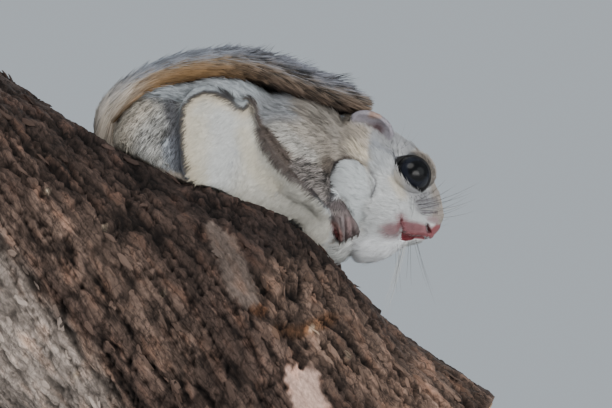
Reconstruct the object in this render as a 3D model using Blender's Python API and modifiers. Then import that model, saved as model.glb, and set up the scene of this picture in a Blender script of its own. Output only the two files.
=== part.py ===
"""A small flying squirrel crouched head down on a cut length of limb, life size, on a plain display stand.

Every place is written in millimetres in the animal's own frame: +X to its nose, +Y to its left,
+Z up, with the middle of its back near x = 0. The stand's underside is the floor, at world z = 0.
"""

import math

import bmesh
import bpy
from mathutils import Matrix, Vector, noise

MM = 0.001
GAP = 0.3
SOCKET_GAP = 0.6

# How many facets a piece may have when it cuts its neighbour.
FINE_CUTTER = 3000
LIMB_CUTTER = 1000
PLAIN_CUTTER = 400
SOCKET_CUTTER = 150
HULL_CUTTER = 110

# Driving sizes, in millimetres and degrees.
TAIL_THICKNESS = 9.4
TAIL_WIDTH = 27.0
TAIL_DROOP = 3.2
TAIL_BEND_CENTRE = (-8.0, 8.0)
TAIL_ROOT_CUT = ((-31.0, 0, 38.6), (0.84, 0, 0.54))
TAIL_TIP_CUT = ((8.0, 0, 40.2), (0.94, 0, -0.34))
NECK_BACK_CUT = ((27.0, 0, 5.0), (0.97, 0, -0.22))
NECK_FRONT_CUT = ((36.4, 0, 4.0), (0.99, 0, -0.12))
EYE_RADIUS = 5.8
EYE_CENTRE = (50.1, 7.9, 6.8)
EAR_LENGTH = 15.0
EAR_WIDTH = 10.5
EAR_DEPTH = 2.6
EAR_WALL = 0.9
EAR_PLACE = (37.6, 10.6, 21.0)
MEMBRANE_THICKNESS = 2.6
LIMB_RADIUS = 47.0
LIMB_LENGTH = 186.0
LIMB_SLOPE = 33.5
LIMB_START = (-79.5, 0.0, 41.6)
LIMB_SIDE_SHIFT = -3.0
SEAT_ALONG = 81.0
STAND_HEIGHT = 168.0
STAND_SHIFT = 27.0
BASE_LENGTH = 176.0
BASE_WIDTH = 104.0
BASE_THICKNESS = 12.0
BASE_EDGE = 1.6
ROD_RADIUS = 4.0
ROD_PLACES = (-78.0, -14.0)

ANIMAL_ORIGIN = Vector((STAND_SHIFT, 0.0, STAND_HEIGHT))


def place(x, y, z):
    """A point of the animal's frame, in world metres."""
    return (Vector((x, y, z)) + ANIMAL_ORIGIN) * MM


# Scene and collections

for old in list(bpy.data.objects):
    bpy.data.objects.remove(old)
parts = bpy.data.collections.new("flying_squirrel")
cutters = bpy.data.collections.new("cutters")
bpy.context.scene.collection.children.link(parts)
bpy.context.scene.collection.children.link(cutters)


def finish(name, colour, roughness, metallic=0.0):
    """A plain Principled material of one colour."""
    material = bpy.data.materials.new(name)
    material.use_nodes = True
    shader = material.node_tree.nodes["Principled BSDF"]
    shader.inputs["Base Color"].default_value = (*colour, 1.0)
    shader.inputs["Roughness"].default_value = roughness
    shader.inputs["Metallic"].default_value = metallic
    return material


GREY_FUR = finish("grey_fur", (0.24, 0.22, 0.20), 0.9)
WHITE_FUR = finish("white_fur", (0.62, 0.58, 0.50), 0.9)
TAIL_FUR = finish("tail_fur", (0.20, 0.13, 0.08), 0.9)
BARE_SKIN = finish("bare_skin", (0.45, 0.24, 0.22), 0.6)
DARK_EYE = finish("dark_eye", (0.01, 0.01, 0.015), 0.05)
BARK = finish("bark", (0.10, 0.065, 0.05), 0.95)
PLINTH = finish("plinth", (0.05, 0.035, 0.03), 0.4)
STEEL = finish("steel", (0.55, 0.55, 0.56), 0.3, 1.0)


# Tools

def add_object(name, mesh, material=None, collection=parts):
    """An object in the given collection, with one material."""
    obj = bpy.data.objects.new(name, mesh)
    collection.objects.link(obj)
    if material is not None:
        mesh.materials.clear()
        mesh.materials.append(material)
    if collection is cutters:
        obj.hide_render = True
        obj.display_type = "WIRE"
    return obj


def bake(obj):
    """The object's modifiers made part of its mesh."""
    bpy.context.view_layer.update()
    graph = bpy.context.evaluated_depsgraph_get()
    mesh = bpy.data.meshes.new_from_object(obj.evaluated_get(graph))
    if obj.type == "CURVE":
        baked = add_object(obj.name + "_mesh", mesh, None, obj.users_collection[0])
        baked.matrix_world = obj.matrix_world
        name = obj.name
        bpy.data.objects.remove(obj)
        baked.name = name
        return baked
    obj.modifiers.clear()
    obj.data = mesh
    return obj


def mass(bm, centre, radii, pitch=0.0, roll=0.0, yaw=0.0, rings=12):
    """One rounded mass of flesh and coat, its first axis tipped down towards +X by pitch degrees."""
    turn = (
        Matrix.Rotation(math.radians(yaw), 4, "Z")
        @ Matrix.Rotation(math.radians(pitch), 4, "Y")
        @ Matrix.Rotation(math.radians(roll), 4, "X")
    )
    size = Matrix.Diagonal((*(r * MM for r in radii), 1.0))
    matrix = Matrix.Translation(place(*centre)) @ turn @ size
    bmesh.ops.create_uvsphere(bm, u_segments=2 * rings, v_segments=rings, radius=1.0, matrix=matrix)


def limb_bone(bm, start, end, start_radius, end_radius, steps=6):
    """A tapering run of masses from one joint of a leg to the next."""
    a = Vector(start)
    b = Vector(end)
    for step in range(steps + 1):
        share = step / steps
        radius = start_radius + (end_radius - start_radius) * share
        mass(bm, a.lerp(b, share), (radius, radius, radius), rings=8)


def blend(name, masses, grid, smoothing, faces, material, collection=parts):
    """Overlapping masses made one closed skin: a voxel remesh, a smoothing and a thinning of faces."""
    bm = bmesh.new()
    for add in masses:
        add(bm)
    mesh = bpy.data.meshes.new(name)
    bm.to_mesh(mesh)
    bm.free()
    obj = add_object(name, mesh, material, collection)
    remesh = obj.modifiers.new("skin", "REMESH")
    remesh.mode = "VOXEL"
    remesh.voxel_size = grid * MM
    smooth = obj.modifiers.new("soften", "SMOOTH")
    smooth.factor = 0.5
    smooth.iterations = smoothing
    bake(obj)
    thin(obj, faces)
    return obj


def thin(obj, faces):
    """Fewer triangles, where the mesh has more than the given number."""
    count = sum(len(p.vertices) - 2 for p in obj.data.polygons)
    if count > faces:
        decimate = obj.modifiers.new("thin", "DECIMATE")
        decimate.ratio = faces / count
        bake(obj)


def copy_of(obj, name, collection=cutters):
    """A copy with its own mesh."""
    return add_object(name, obj.data.copy(), None, collection)


def grown(obj, amount):
    """A cutter: the object's shape, moved out along its normals."""
    cutter = copy_of(obj, obj.name + "_grown")
    displace = cutter.modifiers.new("grow", "DISPLACE")
    displace.strength = amount * MM
    displace.mid_level = 0.0
    return bake(cutter)


def hull_of(obj, amount):
    """A cutter for a foot or hand: the smooth hull of its toes and sole, moved out a little."""
    cutter = grown(obj, amount)
    thin(cutter, HULL_CUTTER)
    bm = bmesh.new()
    bm.from_mesh(cutter.data)
    hull = bmesh.ops.convex_hull(bm, input=bm.verts)
    spare = [item for item in hull["geom_interior"] + hull["geom_unused"] if isinstance(item, bmesh.types.BMVert)]
    bmesh.ops.delete(bm, geom=list(set(spare)), context="VERTS")
    inner = [face for face in bm.faces if face not in set(hull["geom"])]
    bmesh.ops.delete(bm, geom=inner, context="FACES")
    bmesh.ops.recalc_face_normals(bm, faces=bm.faces)
    bm.to_mesh(cutter.data)
    bm.free()
    return cutter


def boolean(obj, cutter, operation):
    """One Boolean, made part of the mesh. Meshes in many small facets fail the EXACT solver here."""
    cut = obj.modifiers.new("cut", "BOOLEAN")
    cut.operation = operation
    cut.solver = "MANIFOLD"
    cut.object = cutter
    bake(obj)


def largest_piece(obj):
    """Only the biggest connected body of a mesh, so that no crumb of a cut is left."""
    bm = bmesh.new()
    bm.from_mesh(obj.data)
    unseen = set(bm.verts)
    islands = []
    while unseen:
        stack = [unseen.pop()]
        island = []
        while stack:
            vertex = stack.pop()
            island.append(vertex)
            for edge in vertex.link_edges:
                other = edge.other_vert(vertex)
                if other in unseen:
                    unseen.remove(other)
                    stack.append(other)
        islands.append(island)
    islands.sort(key=len)
    crumbs = [vertex for island in islands[:-1] for vertex in island]
    bmesh.ops.delete(bm, geom=crumbs, context="VERTS")
    bm.to_mesh(obj.data)
    bm.free()


def cut_by(obj, *neighbours, gap=GAP, cutter_faces=PLAIN_CUTTER):
    """Takes each neighbour, and a thin gap round it, out of the object."""
    for neighbour in neighbours:
        toed = neighbour.name.startswith(("hind_foot", "hand"))
        cutter = hull_of(neighbour, 3 * gap) if toed else grown(neighbour, gap)
        thin(cutter, cutter_faces)
        boolean(obj, cutter, "DIFFERENCE")
        bpy.data.objects.remove(cutter)
    largest_piece(obj)


def slab_beyond(point, direction):
    """A big block whose near face passes through the point, facing back along the direction."""
    size = 200 * MM
    forward = Vector(direction).normalized()
    bm = bmesh.new()
    bmesh.ops.create_cube(bm, size=size)
    mesh = bpy.data.meshes.new("slab")
    bm.to_mesh(mesh)
    bm.free()
    turn = forward.to_track_quat("X", "Z").to_matrix().to_4x4()
    mesh.transform(Matrix.Translation(place(*point) + forward * size / 2) @ turn)
    return add_object("slab", mesh, None, cutters)


def part_at(obj, point, direction, name, material):
    """Parts the object with a thin cut at a plane: what lies beyond it becomes a new object."""
    forward = Vector(direction).normalized()
    half_gap = forward * GAP / 2
    beyond = copy_of(obj, name, parts)
    beyond.data.materials.clear()
    beyond.data.materials.append(material)
    far_slab = slab_beyond(Vector(point) + half_gap, direction)
    boolean(beyond, far_slab, "INTERSECT")
    near_slab = slab_beyond(Vector(point) - half_gap, direction)
    boolean(obj, near_slab, "DIFFERENCE")
    for slab in (far_slab, near_slab):
        bpy.data.objects.remove(slab)
    largest_piece(beyond)
    largest_piece(obj)
    return beyond


def both_sides(*arguments, **named):
    """The same mass on the animal's right (-Y) and left (+Y)."""
    centre, *rest = arguments

    def add(bm):
        for side in (-1, 1):
            turned = {k: v * side if k in ("roll", "yaw") else v for k, v in named.items()}
            mass(bm, (centre[0], centre[1] * side, centre[2]), *rest, **turned)

    return add


def single(*arguments, **named):
    """One mass on the animal's middle plane."""
    return lambda bm: mass(bm, *arguments, **named)


# Perch: a cut length of thick limb

def limb_relief(along, angle):
    """How far the bark stands out of a plain round limb, in millimetres, at a length and an angle from its top."""
    past_seat = along - SEAT_ALONG
    swelling = 10.8 * math.exp(-(((past_seat - 26.0) / 29.0) ** 2)) * max(0.0, math.cos(math.radians(angle)))
    under_animal = math.exp(-((past_seat / 52.0) ** 4))
    seat = -3.6 * math.exp(-(((angle - 2.0) / 17.0) ** 2)) * under_animal
    lip = 5.0 * math.exp(-(((angle + 27.0) / 11.0) ** 2)) * under_animal
    shoulder = 1.2 * math.exp(-(((angle - 30.0) / 13.0) ** 2)) * under_animal
    return swelling + seat + lip + shoulder


def make_limb():
    """The limb: a filled tube along its axis, its rings moved in and out by the bark's relief."""
    slope = math.radians(LIMB_SLOPE)
    axis = Vector((math.cos(slope), 0.0, -math.sin(slope)))
    outward = Vector((math.sin(slope), 0.0, math.cos(slope)))
    side = Vector((0.0, 1.0, 0.0))
    start = Vector(LIMB_START) - outward * LIMB_RADIUS + side * LIMB_SIDE_SHIFT
    curve = bpy.data.curves.new("perch_limb", "CURVE")
    curve.dimensions = "3D"
    curve.bevel_depth = LIMB_RADIUS * MM
    curve.bevel_resolution = 6
    curve.use_fill_caps = True
    spline = curve.splines.new("POLY")
    rings = 19
    spline.points.add(rings - 1)
    for index, point in enumerate(spline.points):
        along = LIMB_LENGTH * index / (rings - 1)
        point.co = (*place(*(start + axis * along)), 1.0)
    limb = bpy.data.objects.new("perch_limb", curve)
    parts.objects.link(limb)
    limb = bake(limb)
    limb.data.materials.clear()
    limb.data.materials.append(BARK)
    bm = bmesh.new()
    bm.from_mesh(limb.data)
    bmesh.ops.remove_doubles(bm, verts=bm.verts, dist=0.00001)
    for vertex in bm.verts:
        local = vertex.co / MM - ANIMAL_ORIGIN - start
        along = local.dot(axis)
        across = local - axis * along
        if across.length < 1.0:
            continue
        angle = math.degrees(math.atan2(across.dot(side), across.dot(outward)))
        ripple = 1.3 * noise.noise(Vector((along / 21.0, angle / 24.0, 3.7)))
        wander = 1.6 * math.sin(along / 31.0) * math.sin(math.radians(angle))
        radius = across.length + limb_relief(along, angle) + ripple + wander
        vertex.co = (start + axis * along + across.normalized() * radius + ANIMAL_ORIGIN) * MM
    bm.to_mesh(limb.data)
    bm.free()
    return limb


# Head, neck and trunk, modelled whole

TRUNK_MASSES = (
    single((-24.0, 0, 15.8), (19.4, 20.0, 20.6), pitch=20),
    single((-9.0, 0, 17.2), (22.0, 20.0, 21.0), pitch=5),
    single((11.0, 0, 12.4), (21.0, 18.5, 20.2), pitch=22),
    single((-5.0, 0, 6.0), (27.0, 16.5, 12.0), pitch=20),
    single((24.5, 0, 9.0), (15.5, 16.5, 18.8), pitch=35),
    single((27.0, 0, -5.5), (12.5, 13.5, 13.8), pitch=30),
    both_sides((33.6, 8.6, 2.2), (8.2, 6.4, 9.0), pitch=-10),
)
HEAD_MASSES = (
    single((34.5, 0, 12.0), (12.0, 14.0, 13.4)),
    single((42.6, 0, 9.4), (14.6, 12.6, 11.4), pitch=45),
    both_sides((47.2, 5.2, 9.6), (9.4, 6.2, 8.2), pitch=52),
    single((49.2, 0, 0.4), (13.6, 9.8, 9.8), pitch=62),
    both_sides((42.6, 7.4, -3.6), (9.8, 6.6, 10.4), pitch=30),
    single((53.4, 0, -4.6), (8.6, 6.6, 6.8), pitch=66),
    both_sides((52.8, 2.9, -7.2), (5.6, 3.6, 4.6), pitch=35),
    single((57.5, 0, -8.4), (2.7, 2.5, 2.9)),
    single((49.4, 0, -10.8), (6.4, 4.6, 3.7), pitch=-6),
    single((37.5, 0, -8.8), (13.8, 10.8, 9.9), pitch=-10),
)


def make_eye(side):
    """An eyeball, a little wider than deep, set in the side of the head."""
    name = "eye_right" if side < 0 else "eye_left"
    bm = bmesh.new()
    centre = (EYE_CENTRE[0], EYE_CENTRE[1] * side, EYE_CENTRE[2])
    mass(bm, centre, (EYE_RADIUS,) * 3, rings=7)
    mesh = bpy.data.meshes.new(name)
    bm.to_mesh(mesh)
    bm.free()
    mesh.shade_smooth()
    return add_object(name, mesh, DARK_EYE)


def make_ear(side):
    """An outer ear laid back along the nape: a thin cup, hollow towards the front and the side."""
    name = "ear_right" if side < 0 else "ear_left"
    bm = bmesh.new()
    mass(bm, (0, 0, 0), (EAR_LENGTH / 2, EAR_DEPTH, EAR_WIDTH / 2), rings=14)
    mesh = bpy.data.meshes.new(name)
    bm.to_mesh(mesh)
    bm.free()
    ear = add_object(name, mesh, BARE_SKIN)
    hollow_bm = bmesh.new()
    inner_radii = (EAR_LENGTH / 2 - EAR_WALL, EAR_DEPTH, EAR_WIDTH / 2 - EAR_WALL)
    mass(hollow_bm, (EAR_WALL / 2, 2 * EAR_WALL, 0), inner_radii, rings=14)
    hollow_mesh = bpy.data.meshes.new("hollow")
    hollow_bm.to_mesh(hollow_mesh)
    hollow_bm.free()
    hollow = add_object("hollow", hollow_mesh, None, cutters)
    boolean(ear, hollow, "DIFFERENCE")
    bpy.data.objects.remove(hollow)
    centre = place(0, 0, 0)
    lean = Matrix.Rotation(math.radians(-28 * side), 4, "X") @ Matrix.Rotation(math.radians(30), 4, "Y")
    turn = Matrix.Rotation(math.radians(24 * side), 4, "Z") @ lean
    ear.data.transform(Matrix.Translation(-centre))
    if side < 0:
        ear.data.transform(Matrix.Scale(-1, 4, (0, 1, 0)))
        ear.data.flip_normals()
    ear.data.transform(Matrix.Translation(place(EAR_PLACE[0], EAR_PLACE[1] * side, EAR_PLACE[2])) @ turn)
    thin(ear, 190)
    return ear


def make_thigh(side, suffix):
    """The haunch, its knee forward under the membrane, and the shin back to the heel."""
    return blend(
        "thigh_" + suffix,
        (
            single((-26.5, 14.8 * side, 13.6), (15.4, 8.8, 17.2), pitch=-14, yaw=4 * side),
            single((-13.0, 17.4 * side, 7.0), (10.5, 6.4, 9.5), pitch=25),
            lambda bm: limb_bone(bm, (-10.0, 18.4 * side, 4.0), (-31.0, 17.6 * side, 10.0), 5.4, 3.6),
        ),
        1.5, 6, 300, GREY_FUR,
    )


def toe(bm, root, knuckle, tip, claw_tip, radius=1.25):
    """One toe: two bones over the bark and a claw that bends down into it."""
    limb_bone(bm, root, knuckle, radius, radius, steps=4)
    limb_bone(bm, knuckle, tip, radius, radius * 0.8, steps=4)
    limb_bone(bm, tip, claw_tip, radius * 0.55, 0.32, steps=4)


def make_hind_foot(side, suffix):
    """A long hind foot flat on the bark: heel, sole and five toes, turned a little out."""
    heel = Vector((-33.0, 17.2 * side, 9.6))
    ball = Vector((-16.0, 18.6 * side, 1.4))
    forward = (ball - heel).normalized()
    out = Vector((0.0, side, 0.0))

    def add(bm):
        limb_bone(bm, heel, ball, 3.1, 2.9, steps=6)
        for index in range(5):
            spread = index - 2
            root = ball + out * (spread * 1.35) - Vector((0, 0, 0.4))
            reach = 8.4 - 0.8 * abs(spread)
            aim = (forward + out * (spread * 0.16)).normalized()
            knuckle = root + aim * reach * 0.5 + Vector((0, 0, 0.7))
            tip = root + aim * reach + Vector((0, 0, -1.0))
            toe(bm, root, knuckle, tip, tip + aim * 1.9 + Vector((0, 0, -1.4)))

    return blend("hind_foot_" + suffix, (add,), 0.7, 2, 320, BARE_SKIN)


def make_arm(side, suffix, wrist):
    """The shoulder, the upper arm back to the elbow and the forearm down to the wrist."""
    return blend(
        "foreleg_" + suffix,
        (
            single((15.5, 11.8 * side, 12.4), (15.0, 7.6, 11.0), pitch=42),
            lambda bm: limb_bone(bm, (9.0, 15.6 * side, 16.0), (17.0, 15.6 * side, 5.0), 6.2, 6.0),
            lambda bm: limb_bone(bm, (14.0, 15.4 * side, 9.0), wrist, 6.0, 3.3, steps=8),
        ),
        1.4, 5, 240, GREY_FUR,
    )


def make_hand(side, suffix, wrist, palm, curl):
    """A small hand: the palm, and four fingers that curl in from it."""
    wrist = Vector(wrist)
    palm = Vector(palm)
    forward = (palm - wrist).normalized()
    inward = Vector((0.0, -side, 0.0))
    across = forward.cross(inward).normalized()

    def add(bm):
        limb_bone(bm, wrist + forward * 0.8, palm, 2.9, 3.1, steps=4)
        for index in range(4):
            spread = index - 1.5
            root = palm + across * (spread * 1.45)
            aim = (forward + across * (spread * 0.12)).normalized()
            knuckle = root + aim * 3.2 - inward * 0.8
            tip = knuckle + (aim * (1.0 - curl) + inward * curl).normalized() * 3.4
            claw = tip + (inward * curl + aim * (0.7 - curl)).normalized() * 1.7 + Vector((0, 0, -0.5))
            toe(bm, root, knuckle, tip, claw, radius=1.15)

    return blend("hand_" + suffix, (add,), 0.65, 2, 290, BARE_SKIN)


# Gliding membrane

MEMBRANE_OUTLINE = (
    (-19.0, 2.0), (-20.6, 12.0), (-21.0, 21.0), (-19.6, 29.0), (-15.8, 33.2), (-10.8, 33.0),
    (-6.0, 29.6), (-2.6, 27.8), (-0.4, 29.4), (1.6, 24.0), (4.4, 17.6), (10.0, 9.6),
    (17.0, 2.0), (24.0, -5.0), (25.0, -16.0), (4.0, -13.0), (-12.0, -4.0),
)


def outline_block(side):
    """A block that stands on the membrane's outline and reaches out sideways past the flank."""
    curve = bpy.data.curves.new("outline", "CURVE")
    curve.dimensions = "2D"
    curve.fill_mode = "BOTH"
    curve.extrude = 16.0 * MM
    spline = curve.splines.new("BEZIER")
    spline.bezier_points.add(len(MEMBRANE_OUTLINE) - 1)
    spline.use_cyclic_u = True
    spline.resolution_u = 3
    for point, (x, z) in zip(spline.bezier_points, MEMBRANE_OUTLINE):
        point.co = (x * MM, z * MM, 0.0)
        point.handle_left_type = point.handle_right_type = "AUTO"
    outline = bpy.data.objects.new("outline", curve)
    cutters.objects.link(outline)
    outline = bake(outline)
    outline.hide_render = True
    bm = bmesh.new()
    bm.from_mesh(outline.data)
    bmesh.ops.remove_doubles(bm, verts=bm.verts, dist=0.00001)
    upright = Matrix.Rotation(math.radians(90), 4, "X")
    bmesh.ops.transform(bm, matrix=Matrix.Translation(place(0, 25.0 * side, 0)) @ upright, verts=bm.verts)
    bmesh.ops.recalc_face_normals(bm, faces=bm.faces)
    bm.to_mesh(outline.data)
    bm.free()
    return outline


def make_membrane(side, suffix, covered):
    """The furred gliding membrane folded over the flank from wrist to ankle, its white underside out."""
    joined = bmesh.new()
    for piece in covered:
        joined.from_mesh(piece.data)
    mesh = bpy.data.meshes.new("membrane_" + suffix)
    joined.to_mesh(mesh)
    joined.free()
    membrane = add_object("membrane_" + suffix, mesh, WHITE_FUR)
    remesh = membrane.modifiers.new("skin", "REMESH")
    remesh.mode = "VOXEL"
    remesh.voxel_size = 1.3 * MM
    smooth = membrane.modifiers.new("soften", "SMOOTH")
    smooth.factor = 0.5
    smooth.iterations = 14
    bake(membrane)
    thin(membrane, 1500)
    displace = membrane.modifiers.new("thicken", "DISPLACE")
    displace.strength = MEMBRANE_THICKNESS * MM
    displace.mid_level = 0.0
    bake(membrane)
    outline = outline_block(side)
    boolean(membrane, outline, "INTERSECT")
    bpy.data.objects.remove(outline)
    return membrane


# Tail

def make_tail():
    """A flat plume from the rump's lower end, bent up and forward over the whole back."""
    middle = (
        (-38.0, 8.0, 0.62), (-44.6, 14.5, 0.86), (-46.6, 22.6, 0.96), (-42.4, 30.2, 1.0),
        (-34.4, 36.6, 1.0), (-22.0, 41.4, 1.0), (-8.0, 43.1, 1.0), (5.5, 41.0, 1.0),
        (17.0, 36.9, 0.98), (27.6, 33.2, 0.92), (33.6, 30.9, 0.72), (37.6, 29.4, 0.28),
    )
    section = bpy.data.curves.new("tail_section", "CURVE")
    section.dimensions = "2D"
    round_line = section.splines.new("POLY")
    sides = 16
    round_line.points.add(sides - 1)
    round_line.use_cyclic_u = True
    for index, point in enumerate(round_line.points):
        turn = 2 * math.pi * index / sides
        point.co = (TAIL_WIDTH / 2 * MM * math.cos(turn), TAIL_THICKNESS / 2 * MM * math.sin(turn), 0, 1)
    section_object = bpy.data.objects.new("tail_section", section)
    cutters.objects.link(section_object)
    section_object.hide_render = True
    curve = bpy.data.curves.new("tail", "CURVE")
    curve.dimensions = "3D"
    curve.twist_mode = "Z_UP"
    curve.bevel_mode = "OBJECT"
    curve.bevel_object = section_object
    curve.use_fill_caps = True
    spline = curve.splines.new("BEZIER")
    spline.bezier_points.add(len(middle) - 1)
    spline.resolution_u = 3
    for point, (x, z, radius) in zip(spline.bezier_points, middle):
        point.co = place(x, 0, z)
        point.radius = radius
        point.handle_left_type = point.handle_right_type = "AUTO"
    tail = bpy.data.objects.new("tail", curve)
    parts.objects.link(tail)
    tail = bake(tail)
    bpy.data.objects.remove(section_object)
    bm = bmesh.new()
    bm.from_mesh(tail.data)
    bmesh.ops.remove_doubles(bm, verts=bm.verts, dist=0.00002)
    bmesh.ops.recalc_face_normals(bm, faces=bm.faces)
    bm.to_mesh(tail.data)
    bm.free()
    remesh = tail.modifiers.new("skin", "REMESH")
    remesh.mode = "VOXEL"
    remesh.voxel_size = 1.2 * MM
    smooth = tail.modifiers.new("soften", "SMOOTH")
    smooth.factor = 0.5
    smooth.iterations = 4
    bake(tail)
    thin(tail, 900)
    for vertex in tail.data.vertices:
        local = vertex.co / MM - ANIMAL_ORIGIN
        inward = Vector((TAIL_BEND_CENTRE[0] - local.x, 0.0, TAIL_BEND_CENTRE[1] - local.z)).normalized()
        vertex.co += inward * (TAIL_DROOP * (2 * local.y / TAIL_WIDTH) ** 2 * MM)
    tail.data.materials.clear()
    tail.data.materials.append(TAIL_FUR)
    return tail


# Stand

def make_base():
    """The stand's flat base, with its edges eased."""
    bm = bmesh.new()
    bmesh.ops.create_cube(bm, size=1.0)
    size = Matrix.Diagonal((BASE_LENGTH * MM, BASE_WIDTH * MM, BASE_THICKNESS * MM, 1.0))
    bmesh.ops.transform(bm, matrix=Matrix.Translation((0, 0, BASE_THICKNESS * MM / 2)) @ size, verts=bm.verts)
    mesh = bpy.data.meshes.new("stand_base")
    bm.to_mesh(mesh)
    bm.free()
    base = add_object("stand_base", mesh, PLINTH)
    bevel = base.modifiers.new("eased_edges", "BEVEL")
    bevel.width = BASE_EDGE * MM
    bevel.segments = 2
    return base


def make_rod(name, x, limb):
    """A rod from the base up to the underside of the limb, which its top is cut to meet."""
    bottom = BASE_THICKNESS + GAP
    top = STAND_HEIGHT - 10.0
    bm = bmesh.new()
    bmesh.ops.create_cone(
        bm, cap_ends=True, segments=24, radius1=ROD_RADIUS * MM, radius2=ROD_RADIUS * MM, depth=(top - bottom) * MM
    )
    mesh = bpy.data.meshes.new(name)
    bm.to_mesh(mesh)
    bm.free()
    mesh.transform(Matrix.Translation(((x + STAND_SHIFT) * MM, LIMB_SIDE_SHIFT * MM, (top + bottom) / 2 * MM)))
    rod = add_object(name, mesh, STEEL)
    cutter = grown(limb, GAP)
    boolean(rod, cutter, "DIFFERENCE")
    bpy.data.objects.remove(cutter)
    lowest_piece(rod)
    return rod


def lowest_piece(obj):
    """Only the stretch of a cut rod that stands on the base."""
    limit = (BASE_THICKNESS + 1.0) * MM
    bm = bmesh.new()
    bm.from_mesh(obj.data)
    seeds = [vertex for vertex in bm.verts if vertex.co.z < limit]
    kept = set(seeds)
    stack = list(seeds)
    while stack:
        for edge in stack.pop().link_edges:
            for vertex in edge.verts:
                if vertex not in kept:
                    kept.add(vertex)
                    stack.append(vertex)
    bmesh.ops.delete(bm, geom=[vertex for vertex in bm.verts if vertex not in kept], context="VERTS")
    bm.to_mesh(obj.data)
    bm.free()


# Assembly

limb = make_limb()
make_base()
for number, rod_x in enumerate(ROD_PLACES, start=1):
    make_rod(f"stand_rod_{number}", rod_x, limb)

body = blend("trunk", TRUNK_MASSES + HEAD_MASSES, 1.3, 7, 2300, GREY_FUR)
eyes = [make_eye(side) for side in (-1, 1)]

WRISTS = {"right": (26.4, -15.2, -3.6), "left": (22.6, 14.8, -6.6)}
PALMS = {"right": (28.6, -14.6, -8.4), "left": (23.6, 16.0, -12.4)}
CURLS = {"right": 0.62, "left": 0.25}
legs = {}
for side, suffix in ((-1, "right"), (1, "left")):
    legs[suffix] = {
        "thigh": make_thigh(side, suffix),
        "hind_foot": make_hind_foot(side, suffix),
        "arm": make_arm(side, suffix, WRISTS[suffix]),
        "hand": make_hand(side, suffix, WRISTS[suffix], PALMS[suffix], CURLS[suffix]),
        "ear": make_ear(side),
    }
    legs[suffix]["membrane"] = make_membrane(
        side, suffix, (body, legs[suffix]["thigh"], legs[suffix]["arm"])
    )
tail = make_tail()

for leg in legs.values():
    cut_by(leg["ear"], body, cutter_faces=FINE_CUTTER)
    cut_by(leg["membrane"], body, limb, cutter_faces=FINE_CUTTER)
    cut_by(leg["membrane"], leg["thigh"], leg["arm"], leg["hand"], leg["hind_foot"])
cut_by(tail, body, legs["right"]["thigh"], legs["left"]["thigh"], limb, cutter_faces=FINE_CUTTER)
for leg in legs.values():
    cut_by(body, leg["thigh"], leg["arm"], gap=SOCKET_GAP, cutter_faces=SOCKET_CUTTER)
    cut_by(body, leg["hand"], leg["hind_foot"])
cut_by(body, limb, *eyes, cutter_faces=LIMB_CUTTER)
for leg in legs.values():
    for end in ("hand", "hind_foot"):
        cut_by(leg["arm" if end == "hand" else "thigh"], leg[end])
        cut_by(leg[end], limb, cutter_faces=LIMB_CUTTER)
    for root in ("arm", "thigh"):
        cut_by(leg[root], limb, cutter_faces=LIMB_CUTTER)

neck = part_at(body, *NECK_BACK_CUT, "neck", WHITE_FUR)
head = part_at(neck, *NECK_FRONT_CUT, "head", WHITE_FUR)
tail_middle = part_at(tail, *TAIL_ROOT_CUT, "tail_middle", TAIL_FUR)
tail_tip = part_at(tail_middle, *TAIL_TIP_CUT, "tail_tip", TAIL_FUR)
tail.name = "tail_base"

FACES_KEPT = {
    neck: 520, head: 1150, tail: 360, tail_middle: 280, tail_tip: 200,
    legs["right"]["membrane"]: 820, legs["left"]["membrane"]: 820,
}
for piece, faces in FACES_KEPT.items():
    thin(piece, faces)
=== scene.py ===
import math

import bmesh
import bpy
import numpy as np
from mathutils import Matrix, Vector
from mathutils.bvhtree import BVHTree
from mathutils.kdtree import KDTree


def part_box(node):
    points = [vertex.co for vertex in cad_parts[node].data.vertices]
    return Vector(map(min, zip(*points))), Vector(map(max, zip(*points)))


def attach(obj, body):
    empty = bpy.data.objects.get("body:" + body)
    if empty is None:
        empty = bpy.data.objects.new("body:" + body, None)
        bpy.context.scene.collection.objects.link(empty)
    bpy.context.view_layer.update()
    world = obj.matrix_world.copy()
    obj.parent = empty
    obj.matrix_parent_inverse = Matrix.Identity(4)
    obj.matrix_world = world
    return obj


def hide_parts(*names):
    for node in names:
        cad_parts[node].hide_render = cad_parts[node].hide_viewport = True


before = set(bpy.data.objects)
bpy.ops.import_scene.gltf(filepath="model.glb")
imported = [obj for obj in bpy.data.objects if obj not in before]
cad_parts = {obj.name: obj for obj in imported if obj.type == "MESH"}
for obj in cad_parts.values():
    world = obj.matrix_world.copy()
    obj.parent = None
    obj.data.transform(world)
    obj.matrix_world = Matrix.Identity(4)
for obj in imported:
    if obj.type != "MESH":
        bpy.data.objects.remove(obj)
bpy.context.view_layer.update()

# Skin
# One thin, loose hide covers the flesh from the nose to the tail's tip, drawn tight on the muzzle, lids
# and hands and doubled at the gliding membrane. It is one remeshed surface, set inside the furred solids
# by the coat's depth, then shaped into lids, nostrils and lips.

MM = 0.001
EYE_AT = np.array((50.1, 7.9, 6.8))
EYE_RADIUS = 5.8
eye_low, eye_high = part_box("eye_left")
HERE = np.array((eye_low + eye_high) / 2) / MM - EYE_AT

FLESH = [
    "trunk", "neck", "head", "thigh_left", "thigh_right", "foreleg_left", "foreleg_right",
    "membrane_left", "membrane_right", "hand_left", "hand_right", "hind_foot_left", "hind_foot_right",
    "ear_left", "ear_right",
]
TAIL = ["tail_base", "tail_middle", "tail_tip"]
LABELS = FLESH + ["eye_left", "eye_right", "tail"]
SEAM_CLOSING = 0.4
FINE_CLOSING = 0.1
SKIN_GRID = 0.585


def sized(points):
    """The animal's millimetres, as metres of the row frame."""
    return (np.asarray(points) + HERE) * MM


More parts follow.
